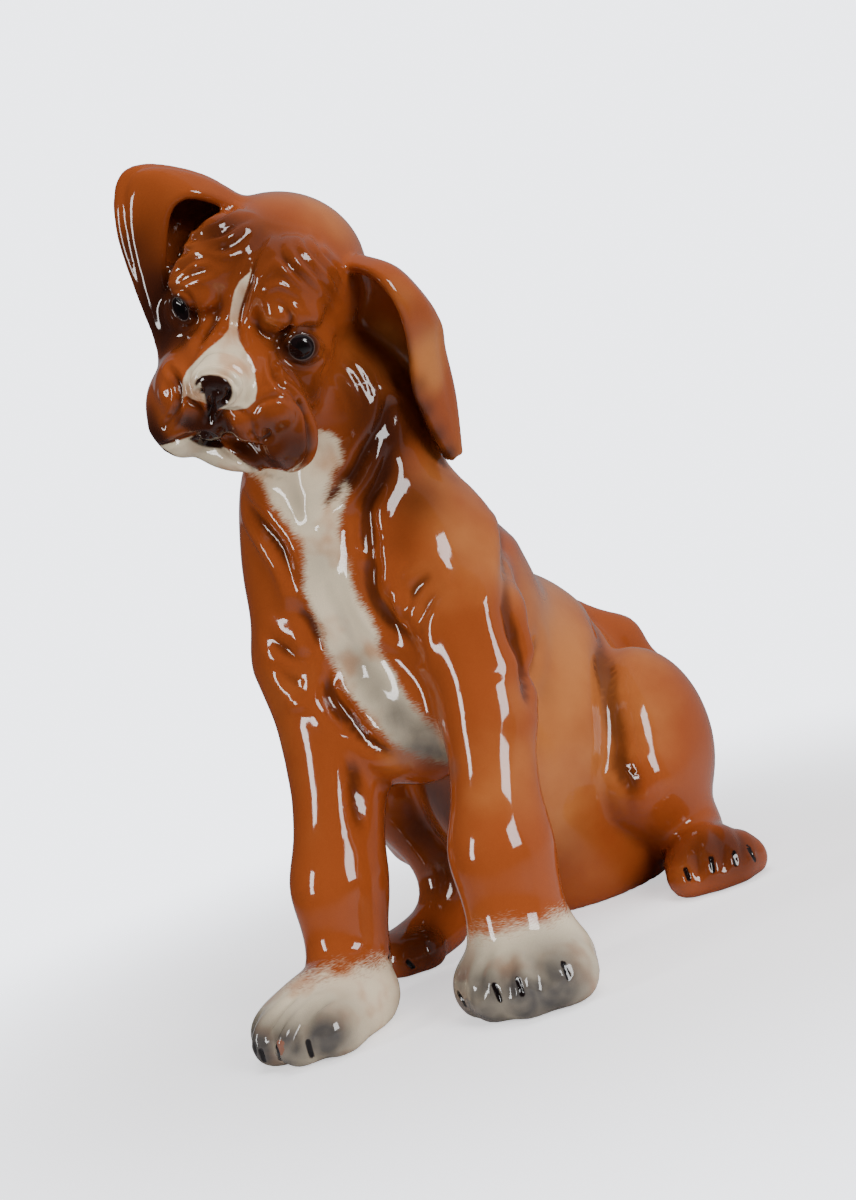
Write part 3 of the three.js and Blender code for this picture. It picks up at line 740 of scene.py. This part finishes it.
# A claw: depth and width of its raised rim and of its slot, and the half width of its paint, in mm
CLAW_RIM, CLAW_SLOT, CLAW_HALF = (0.9, 2.4), (-2.2, 1.25), 1.3


def carve(skin, strokes, depth_factor):
    """Works a set of strokes into the skin and returns how deep each point was cut."""
    caster = Caster(skin)
    p, normals = places(skin), normals_of(skin)
    move = np.zeros(len(p))
    for depth, width, shoulder, points in strokes:
        move += stroke(p, caster.path(points), depth * depth_factor, width, shoulder)
    put(skin, p + normals * move[:, None])
    return move


def carve_claws(skin):
    """Each claw lies in a slot with a raised rim; returns how far inside a claw each point is."""
    caster = Caster(skin)
    p, normals = places(skin), normals_of(skin)
    move, claw = np.zeros(len(p)), np.full(len(p), -9.0)
    for points in CLAWS:
        path = caster.path(points)
        move += stroke(p, path, *CLAW_RIM) + stroke(p, path, *CLAW_SLOT)
        close, gap, _ = nearest_on(p, path, 8)
        claw[close] = np.maximum(claw[close], CLAW_HALF - gap)
    put(skin, p + normals * move[:, None])
    return claw


# ---------------------------------------------------------------- painting


# Outlines in the 856 by 1200 picture of what is painted on the face
BLAZE = [
    (252, 262), (250, 272), (240, 281), (235, 290), (232, 302), (230, 315), (229, 329), (222, 338),
    (207, 350), (195, 362), (187, 371), (183, 380), (182, 390), (181, 400), (186, 395), (192, 399),
    (203, 402), (215, 408), (235, 410), (247, 408), (255, 401), (257, 389), (255, 376), (254, 367),
    (251, 360), (245, 351), (239, 340), (237, 330), (238, 319), (240, 309), (244, 296), (248, 284),
    (251, 272),
]
CHIN = [(160, 446), (178, 441), (192, 436), (204, 440), (215, 444), (226, 448), (243, 462), (258, 470),
        (262, 482),
        (231, 490), (205, 482), (185, 462)]
NOSE = [
    (194, 384), (196, 379), (202, 375), (210, 374), (219, 375), (227, 379), (232, 386), (233, 393),
    (231, 399), (227, 405), (218, 410), (215, 424), (208, 424), (207, 409), (205, 399), (204, 394),
    (199, 393), (201, 388), (200, 383), (196, 387),
]
MOUTH = [(188, 439), (197, 433), (207, 430), (216, 435), (225, 446), (221, 449), (210, 448), (198, 445)]
CHEST = [
    (262, 455), (252, 470), (264, 489), (274, 503), (288, 523), (301, 547), (303, 571), (304, 592),
    (315, 613), (325, 643), (333, 662), (343, 682), (360, 706), (377, 727), (395, 745), (420, 758),
    (448, 764), (454, 756), (449, 742), (426, 719), (408, 695), (391, 668), (379, 647), (375, 626),
    (361, 603), (354, 582), (349, 558), (339, 530), (343, 510), (349, 488), (345, 481), (336, 497),
    (325, 507), (324, 500), (333, 478), (341, 458), (340, 440), (322, 430), (300, 440),
]
DARK_PAINT_AND_SHADE = [
    # soft dark airbrushing of the lips, eyes and feet, and painted shade in the ears, under the near ear
    # and between the forelegs: middle in the picture, reach in mm, strength
    ((213, 424), 9, 0.9), ((190, 425), 9, 0.85), ((155, 438), 11, 0.95), ((165, 445), 9, 0.9),
    ((150, 415), 8, 0.5), ((228, 432), 9, 0.8), ((245, 450), 11, 0.7), ((272, 462), 13, 0.75),
    ((300, 450), 11, 0.65), ((301, 347), 9, 0.8), ((281, 346), 6, 0.7), ((180, 309), 10, 0.85),
    ((300, 374), 13, 0.45), ((312, 400), 14, 0.5), ((185, 338), 9, 0.5), ((290, 385), 10, 0.3),
    ((288, 440), 14, 0.4), ((195, 445), 6, 0.5), ((210, 430), 6, 0.8), ((391, 440), 10, 0.5),
    ((380, 470), 10, 0.6), ((370, 500), 9, 0.5), ((352, 480), 8, 0.4), ((335, 500), 6, 0.5),
    ((350, 370), 12, 0.25), ((263, 322), 5, 0.35), ((176, 383), 5, 0.5), ((395, 320), 18, 0.15),
    ((405, 360), 16, 0.25), ((372, 345), 8, 0.25), ((415, 430), 10, 0.2), ((445, 455), 7, 0.85),
    ((424, 410), 7, 0.55), ((432, 435), 8, 0.7), ((420, 385), 6, 0.4), ((200, 205), 12, 0.45),
    ((175, 250), 12, 0.4), ((140, 235), 18, 0.45), ((128, 250), 9, 0.5), ((152, 285), 16, 0.8),
    ((158, 322), 14, 0.95), ((215, 225), 10, 0.55), ((240, 250), 28, 0.45), ((262, 232), 20, 0.3),
    ((415, 500), 18, 0.55), ((398, 545), 12, 0.3), ((268, 425), 12, 0.4), ((400, 430), 14, 0.35),
    ((300, 262), 22, 0.25), ((330, 300), 20, 0.25), ((375, 415), 20, 0.6), ((378, 440), 8, 0.5),
    ((350, 478), 8, 0.5), ((365, 385), 16, 0.4), ((165, 340), 10, 0.8), ((150, 310), 9, 0.5),
    ((365, 450), 14, 0.35), ((370, 480), 14, 0.25), ((420, 830), 24, 0.75), ((440, 800), 18, 0.5),
    ((450, 870), 16, 0.6), ((700, 850), 26, 0.6), ((740, 850), 22, 0.6), ((425, 940), 26, 0.75),
    ((440, 890), 16, 0.5), ((595, 760), 18, 0.15), ((560, 850), 30, 0.3), ((546, 690), 12, 0.25),
]
# Painted grey shade on the white: down the crease of the chest, at its low end where it turns under, and
# round the chin and muzzle: middle in the picture, reach in mm, strength
GREY_SHADE = [((352, 655), 8, 0.35), ((363, 672), 9, 0.5), ((378, 692), 10, 0.5), ((396, 714), 11, 0.7),
        ((420, 738), 12, 0.8), ((440, 755), 11, 0.8), ((452, 770), 9, 0.7), ((405, 758), 10, 0.6),
        ((300, 500), 12, 0.25), ((318, 560), 12, 0.25), ((212, 466), 10, 0.3), ((205, 357), 4, 0.15),
        ((310, 445), 9, 0.4)]
TAN_AND_PAINTED_LIGHT = [
    # where the coat is lighter tan: the airbrushed tan of the back, flank, haunch, crown and the near ear's
    # outside, and painted light inside the near ear, where it lies in shade
    ((560, 640), 60, 0.8), ((500, 560), 30, 0.5), ((450, 470), 26, 0.25), ((470, 540), 30, 0.2),
    ((640, 690), 34, 0.4), ((388, 335), 9, 0.7), ((400, 362), 9, 0.7), ((570, 780), 40, 0.35),
    ((310, 200), 22, 0.45), ((335, 230), 18, 0.3), ((428, 350), 16, 0.85), ((400, 288), 12, 0.5),
    ((436, 380), 9, 0.5), ((345, 330), 16, 0.2), ((268, 322), 5, 0.5), ((560, 810), 34, 0.45),
    ((500, 790), 16, 0.3), ((596, 560), 22, 0.5), ((395, 760), 14, 0.6), ((520, 700), 10, 0.4),
    ((425, 610), 20, 0.1), ((520, 760), 20, 0.2),
]
# Eyes: middle, half width, half height in the picture, and lean in degrees
EYES = [((301.5, 347.2), 13.2, 13.2, 0), ((180.5, 309), 7.0, 13.0, -27)]


def picture_points(p):
    """Where points of the clay lie in the 856 by 1200 picture."""
    right, up, forward, eye = (np.array(axis) for axis in camera_axes())
    seen = p - eye
    focal = LENS / SENSOR * PICTURE[1]
    depth = seen @ forward
    return np.stack([PICTURE[0] / 2 + focal * (seen @ right) / depth,
                     PICTURE[1] / 2 - focal * (seen @ up) / depth], axis=1)


def inside_outline(places_seen, outline):
    """Distance inside (+) or outside (-) an outline of the picture, in its pixels."""
    start = np.array(outline, float)
    end = np.roll(start, -1, axis=0)
    side = end - start
    offset = places_seen[:, None, :] - start
    t = np.clip((offset * side).sum(axis=2) / (side ** 2).sum(axis=1), 0, 1)
    gap = np.linalg.norm(offset - t[..., None] * side, axis=2).min(axis=1)
    above = start[:, 1] > places_seen[:, None, 1]
    crossing = above != (end[:, 1] > places_seen[:, None, 1])
    with np.errstate(divide="ignore", invalid="ignore"):
        reach = start[:, 0] + side[:, 0] * (places_seen[:, None, 1] - start[:, 1]) / side[:, 1]
    inside = (crossing & (places_seen[:, None, 0] < reach)).sum(axis=1) % 2 == 1
    return np.where(inside, gap, -gap)


PIXELS_PER_MM = 2.18
MASK_REACH = 14.0  # mm on both sides of a painted edge that its mask covers
CHIN_CAP = ((0, -38, -62), (0.8, 0.8, 1.3), 19)  # white under the chin: head place, squeeze, reach
# White front feet: x and y of the leg, height of the white in mm, and how much it rises forwards
WHITE_FEET = [(55, -104, 38, 0.10), (-46, -110, 28, 0.25)]
FOOT_REACH, FOOT_BRUSH = 64, 0.45
GREY_TOES = (25, 19)  # reach of the grey round each toe of the left and the right front paw
GROOVE_DEPTH = 2.0  # mm of carving at which a crease is fully darkened: glaze pooled there, and painted shade
OFF_EYE = 4.0


def airbrushed(p, caster, spots):
    """Soft spots of airbrushed paint, painted shade and painted light, from 0 to 1: each spot has its
    middle in the picture, reach and strength.
    """
    clear = np.ones(len(p))
    for point, reach, strength in spots:
        gap = np.linalg.norm(p - caster.path([point])[0], axis=1)
        clear *= 1 - strength * np.exp(-(gap / reach) ** 2)
    return 1 - clear


def paint(skin, cut, claw):
    """Masks for the glaze, in mm inside each painted edge, or from 0 to 1 for soft airbrushing, painted
    shade and painted light.
    """
    caster = Caster(skin)
    p = places(skin)
    q = to_head(p)
    seen = picture_points(p)
    seen_side = normals_of(skin) @ np.array(caster.forward) < 0.2
    face = (q[:, 1] < -22) & (np.abs(q[:, 0]) < 50) & (q[:, 2] > -72) & seen_side
    chest = (p[:, 0] < 34) & (p[:, 1] > -114) & (p[:, 1] < -40) & (p[:, 2] > 85) & (p[:, 2] < 284)
    fur, crisp, ink = (np.full(len(p), -MASK_REACH) for _ in range(3))
    for mask, where, outline in ((crisp, face, BLAZE), (crisp, face, CHIN), (ink, face, NOSE),
                                 (ink, face, MOUTH), (fur, chest, CHEST)):
        mask[where] = np.maximum(mask[where], inside_outline(seen[where], outline) / PIXELS_PER_MM)
    middle, squeeze, reach = CHIN_CAP
    crisp = np.maximum(crisp, reach - np.linalg.norm((q - middle) * squeeze, axis=1))
    for x, y, top, slope in WHITE_FEET:
        near = (np.hypot(p[:, 0] - x, p[:, 1] - y) < FOOT_REACH) & (p[:, 1] < -66)
        fur[near] = np.maximum(fur, FOOT_BRUSH * (top + slope * (y - p[:, 1]) - p[:, 2]))[near]
    eye = np.full(len(p), OFF_EYE)
    for (x, y), wide, high, lean in EYES:
        turn = math.radians(lean)
        away = seen[face] - (x, y)
        across = away @ (math.cos(turn), math.sin(turn)) / wide
        along = away @ (-math.sin(turn), math.cos(turn)) / high
        eye[face] = np.minimum(eye[face], np.hypot(across, along))
    # grey airbrush round the front toes, and painted shade on the white chest
    toes = airbrushed(p, caster, GREY_SHADE)
    for n, tip in enumerate(list(toe_tips())[:8]):  # four toes to a paw
        reach = GREY_TOES[n // 4]
        toes = np.maximum(toes, np.exp(-(np.linalg.norm(p - tip, axis=1) / reach) ** 2))
    edges = {"fur_white": fur, "crisp_white": crisp, "ink": ink}
    return {
        **{name: np.clip(mask, -MASK_REACH, MASK_REACH) for name, mask in edges.items()},
        "dark_paint_and_shade": airbrushed(p, caster, DARK_PAINT_AND_SHADE), "tan_and_painted_light": airbrushed(p, caster, TAN_AND_PAINTED_LIGHT),
        "crease_shade": np.clip(-cut / GROOVE_DEPTH, 0, 1), "eye": eye, "claw": claw, "grey_and_shade": toes,
    }


# ---------------------------------------------------------------- glaze


def node(tree, kind, settings=None, **links):
    """Adds a node; settings set its properties or sockets, links feed its inputs."""
    made = tree.nodes.new(kind)
    for name, value in (settings or {}).items():
        if name.isdigit():
            made.inputs[int(name)].default_value = value
        elif name in made.inputs:
            made.inputs[name].default_value = value
        else:
            setattr(made, name, value)
    for name, source in links.items():
        key = int(name[1:]) if name[0] == "i" and name[1:].isdigit() else name.replace("_", " ")
        tree.links.new(source, made.inputs[key])
    return made


# Colours that stay as they are
NOSE_BROWN, TAUPE = "2A120B", "6E5A50"
PAPER, MIRRORED_PAPER, ROOM = "F4F3F5", "A5A4A6", "E9ECF4"
# Rings of the eye, as parts of its radius: where each starts and is full, its strength and colour
EYE_RINGS = [
    (1.5, 1.02, 0.85, "3A1D12"),  # shade of the lids
    (1.04, 1.0, 1.0, "5C4B45"),  # rim of the iris
    (0.97, 0.91, 1.0, "1A0F10"),  # iris
]
GLAZE_ROUGHNESS, GLAZE_IOR = 0.07, 1.52
RIPPLE_STRENGTH, RIPPLE_HEIGHT = 0.12, 0.0015


def glaze_material(colours):
    """Slip-cast earthenware, airbrushed and hand painted, under a clear gloss glaze. The glaze
    gives long sharp reflections; the paint shows soft airbrush clouds, painted shade and light,
    and brushed fur edges."""
    material = bpy.data.materials.new("glazed_earthenware")
    material.use_nodes = True
    tree = material.node_tree
    tree.nodes.clear()

    def attribute(name):
        return node(tree, "ShaderNodeAttribute", {"attribute_name": name}).outputs["Fac"]

    def feed(socket, value):
        if isinstance(value, bpy.types.NodeSocket):
            tree.links.new(value, socket)
        else:
            socket.default_value = value

    def math_node(operation, a, b, clamp=False):
        made = node(tree, "ShaderNodeMath", {"operation": operation, "use_clamp": clamp})
        for socket, value in zip(made.inputs, (a, b)):
            feed(socket, value)
        return made.outputs[0]

    def ramp(value, low, high, to_low=0.0, to_high=1.0):
        made = node(tree, "ShaderNodeMapRange", {
            "interpolation_type": "SMOOTHSTEP", "From Min": low, "From Max": high,
            "To Min": to_low, "To Max": to_high}, Value=value)
        return made.outputs["Result"]

    def mix(amount, a, b):
        made = node(tree, "ShaderNodeMix", {"data_type": "RGBA"}, i0=amount)
        feed(made.inputs[6], a)
        feed(made.inputs[7], b)
        return made.outputs[2]

    place = node(tree, "ShaderNodeTexCoord").outputs["Object"]

    def cloud(scale, detail, stretch=(1, 1, 1)):
        turned = node(tree, "ShaderNodeMapping", {"Scale": stretch}, Vector=place).outputs[0]
        return node(tree, "ShaderNodeTexNoise", {"Scale": scale, "Detail": detail},
                    Vector=turned).outputs["Fac"]

    def ruffled(value, noise, amount):
        """Shifts a mask up and down by noise, so its edge isn't smooth."""
        return math_node("ADD", value, math_node("MULTIPLY", math_node("SUBTRACT", noise, 0.5), amount))

    # lighter tan over the coat: airbrushed tan, and painted light inside the near ear
    light = ruffled(attribute("tan_and_painted_light"), cloud(22, 3), 1.2)
    coat = mix(ramp(light, 0.0, 1.0, 0.0, 0.9), colours.chestnut, colours.tan)
    # carved creases darkened towards umber: pooled glaze and painted shade
    coat = mix(ramp(attribute("crease_shade"), 0.15, 1.2, 0.0, 0.75), coat, colours.umber)
    # umber airbrushing, and painted shade in the ears, under the near ear and between the forelegs
    coat = mix(ramp(attribute("dark_paint_and_shade"), 0.0, 1.0), coat, colours.umber)
    # taupe where the grey airbrush and the painted grey shade fall on the coat
    coat = mix(ramp(attribute("grey_and_shade"), 0.2, 1.0, 0.0, 0.65), coat, linear(TAUPE))
    fur = cloud(2600, 2, (0.14, 0.14, 1))
    edge = ruffled(attribute("fur_white"), fur, 6.5)
    edge = ruffled(edge, cloud(260, 2, (0.4, 0.4, 1)), 2.0)
    edge = ruffled(edge, cloud(70, 1), 5.0)
    crisp = ruffled(attribute("crisp_white"), fur, 0.6)
    white = math_node("MAXIMUM", ramp(edge, -2.2, 2.6), ramp(crisp, -0.45, 0.45))
    # grey on the white: airbrushed grey toes, and painted shade in the carved creases and on the chest
    slate_and_shade = math_node("MAXIMUM", math_node("MULTIPLY", attribute("grey_and_shade"), 1.1, clamp=True),
                             ramp(attribute("crease_shade"), 0.3, 1.3, 0.0, 0.45))
    slate_and_shade = math_node("MULTIPLY", slate_and_shade, ramp(cloud(60, 2), 0.25, 0.6, 0.8, 1.0))
    warmed = mix(ramp(cloud(50, 2), 0.48, 0.72, 0.0, 0.6), colours.cream, colours.tan)
    painted = mix(white, coat, mix(slate_and_shade, warmed, colours.slate))
    painted = mix(ramp(attribute("ink"), -0.6, 0.8), painted, linear(NOSE_BROWN))
    painted = mix(ramp(attribute("claw"), -0.4, 0.3), painted, colours.ink)
    eye = attribute("eye")
    for start, full, strength, tint in EYE_RINGS:
        painted = mix(ramp(eye, start, full, 0.0, strength), painted, linear(tint))
    painted = mix(ramp(eye, 0.55, 0.35), painted, colours.ink)  # pupil
    speck = ramp(cloud(3000, 1), 0.3, 0.7, 0.93, 1.05)
    shaded = node(tree, "ShaderNodeVectorMath", {"operation": "SCALE"}, i0=painted, Scale=speck)
    bump = node(tree, "ShaderNodeBump", {"Strength": RIPPLE_STRENGTH, "Distance": RIPPLE_HEIGHT},
                Height=cloud(45, 2))
    skin = node(tree, "ShaderNodeBsdfPrincipled", {"Roughness": GLAZE_ROUGHNESS, "IOR": GLAZE_IOR},
                Base_Color=shaded.outputs[0], Normal=bump.outputs[0])
    node(tree, "ShaderNodeOutputMaterial", Surface=skin.outputs[0])
    return material


def paper_material():
    """Matt white background paper; it fades out into the bright studio, so it has no far edge."""
    paper = bpy.data.materials.new("background_paper")
    paper.use_nodes = True
    tree = paper.node_tree
    shader = tree.nodes["Principled BSDF"]
    shader.inputs["Roughness"].default_value = 0.75
    shader.inputs["Emission Color"].default_value = linear(PAPER)
    rays = node(tree, "ShaderNodeLightPath")
    tint = node(tree, "ShaderNodeMix", {
        "data_type": "RGBA", "6": linear(PAPER), "7": linear(MIRRORED_PAPER)},
        i0=rays.outputs["Is Glossy Ray"])
    tree.links.new(tint.outputs[2], shader.inputs["Base Color"])
    glow = node(tree, "ShaderNodeMath", {"operation": "MULTIPLY", "1": 0.95},
                i0=rays.outputs["Is Camera Ray"])
    tree.links.new(glow.outputs[0], shader.inputs["Emission Strength"])
    place = node(tree, "ShaderNodeTexCoord").outputs["Object"]
    reach = node(tree, "ShaderNodeVectorMath", {"operation": "LENGTH"}, i0=place)
    shown = node(tree, "ShaderNodeMapRange", {
        "interpolation_type": "SMOOTHSTEP", "From Min": 0.16, "From Max": 0.6, "To Min": 1.0,
        "To Max": 0.0}, Value=reach.outputs["Value"])
    tree.links.new(shown.outputs["Result"], shader.inputs["Alpha"])
    return paper


# ---------------------------------------------------------------- operators


class PUPPY_OT_casting(bpy.types.Operator):
    """Models the puppy's casting over its solid, carves it and glazes it"""

    bl_idname = "puppy.casting"
    bl_label = "Puppy casting"

    def execute(self, context):
        sizes, colours = context.scene.puppy_sizes, context.scene.puppy_colours
        skin = modelled(Clay(sizes.ear_wall), sizes.skin)
        cut = sum(np.minimum(carve(skin, strokes, sizes.fold_depth), 0)
                  for strokes in (FORMS, FACE_FORMS, FACE, TOES))
        masks = paint(skin, cut, carve_claws(skin))
        p = places(skin)
        p[:, 2] = np.maximum(p[:, 2], 0)
        put(skin, (p + STAND) * MM)
        mesh = bpy.data.meshes.new("puppy_casting")
        skin.to_mesh(mesh)
        skin.free()
        for name, values in masks.items():
            layer = mesh.attributes.new(name, "FLOAT", "POINT")
            layer.data.foreach_set("value", values.astype(np.float32))
        mesh.polygons.foreach_set("use_smooth", [True] * len(mesh.polygons))
        mesh.materials.append(glaze_material(colours))
        casting = bpy.data.objects.new("puppy_casting", mesh)
        context.scene.collection.objects.link(casting)
        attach(casting, "root")
        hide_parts("puppy")
        triangles = sum(len(face.vertices) - 2 for face in mesh.polygons)
        print("casting:", len(mesh.vertices), "points", triangles, "triangles")
        return {"FINISHED"}


# Soft boxes: name, place in metres, width, height and watts
SOFTBOXES = [
    ("left_box", (-0.85, -1.20, 0.50), 0.24, 0.8, 12),
    ("right_box", (1.45, -0.85, 0.70), 0.62, 0.85, 26),
    ("ceiling", (0.25, 0.0, 2.1), 1.4, 1.4, 30),
]
LIT_MIDDLE = (0, 0, 0.18)  # where every soft box points


class PUPPY_OT_stage(bpy.types.Operator):
    """Lays the pale floor, hangs the studio lights and sets the camera"""

    bl_idname = "puppy.stage"
    bl_label = "Studio"

    def execute(self, context):
        scene = context.scene
        self.floor(scene)
        self.lights(scene)
        self.camera(scene)
        return {"FINISHED"}

    @staticmethod
    def floor(scene):
        floor = bmesh.new()
        radius = scene.puppy_sizes.floor_width / 2
        bmesh.ops.create_circle(floor, cap_ends=True, segments=96, radius=radius)
        mesh = bpy.data.meshes.new("floor")
        floor.to_mesh(mesh)
        floor.free()
        mesh.materials.append(paper_material())
        stage = bpy.data.objects.new("floor", mesh)
        scene.collection.objects.link(stage)

    @staticmethod
    def lights(scene):
        for name, place, width, height, power in SOFTBOXES:
            light = bpy.data.lights.new(name, "AREA")
            light.shape = "RECTANGLE"
            light.size, light.size_y, light.energy = width, height, power
            lamp = bpy.data.objects.new(name, light)
            lamp.location = place
            way = Vector(LIT_MIDDLE) - Vector(place)
            lamp.rotation_euler = way.to_track_quat("-Z", "Y").to_euler()
            lamp.visible_glossy = name != "ceiling"  # bounced light, too even to mirror
            scene.collection.objects.link(lamp)
        world = bpy.data.worlds.new("pale_studio")
        world.use_nodes = True
        tree = world.node_tree
        tree.nodes.clear()
        way = node(tree, "ShaderNodeTexCoord").outputs["Generated"]
        towards = node(tree, "ShaderNodeVectorMath", {"operation": "DOT_PRODUCT", "1": BRIGHT_WAY}, i0=way)
        room = node(tree, "ShaderNodeMapRange", {
            "From Min": 0.26, "From Max": 0.31, "To Min": 0.10, "To Max": 0.65},
            Value=towards.outputs["Value"])
        rays = node(tree, "ShaderNodeLightPath")
        mirrored = node(tree, "ShaderNodeMapRange", {"To Min": 1.0, "To Max": MIRRORED_ROOM},
                        Value=rays.outputs["Is Glossy Ray"])
        dimmed = node(tree, "ShaderNodeMath", {"operation": "MULTIPLY"},
                      i0=room.outputs[0], i1=mirrored.outputs[0])
        level = node(tree, "ShaderNodeMix", {"data_type": "FLOAT", "3": BACKDROP_LEVEL},
                     i0=rays.outputs["Is Camera Ray"], i2=dimmed.outputs[0])
        glow = node(tree, "ShaderNodeBackground", {"Color": linear(ROOM)}, Strength=level.outputs[0])
        node(tree, "ShaderNodeOutputWorld", Surface=glow.outputs[0])
        scene.world = world

    @staticmethod
    def camera(scene):
        right, up, forward, place = camera_axes()
        data = bpy.data.cameras.new("camera")
        data.lens, data.sensor_width, data.sensor_height = LENS, SENSOR, SENSOR
        data.sensor_fit = "AUTO"
        data.clip_start, data.clip_end = 0.05, 20
        camera = bpy.data.objects.new("camera", data)
        camera.matrix_world = Matrix.Translation((place + Vector(STAND)) * MM) @ Matrix(
            (right, up, -forward)).transposed().to_4x4()
        scene.collection.objects.link(camera)
        scene.camera = camera


class PUPPY_PT_panel(bpy.types.Panel):
    """Lists the puppy's sizes, colours and operators"""

    bl_label = "Ceramic puppy"
    bl_space_type = "VIEW_3D"
    bl_region_type = "UI"
    bl_category = "Puppy"

    def draw(self, context):
        for group in (context.scene.puppy_sizes, context.scene.puppy_colours):
            for name in group.__annotations__:
                self.layout.prop(group, name)
        for operator in OPERATORS:
            self.layout.operator(operator.bl_idname)


OPERATORS = (PUPPY_OT_casting, PUPPY_OT_stage)
CLASSES = (PuppySizes, PuppyColours, *OPERATORS, PUPPY_PT_panel)


def register():
    for made in CLASSES:
        bpy.utils.register_class(made)
    bpy.types.Scene.puppy_sizes = bpy.props.PointerProperty(type=PuppySizes)
    bpy.types.Scene.puppy_colours = bpy.props.PointerProperty(type=PuppyColours)


def unregister():
    del bpy.types.Scene.puppy_colours
    del bpy.types.Scene.puppy_sizes
    for made in reversed(CLASSES):
        bpy.utils.unregister_class(made)


def main():
    register()
    bpy.ops.puppy.casting()
    bpy.ops.puppy.stage()


if __name__ == "__main__":
    main()
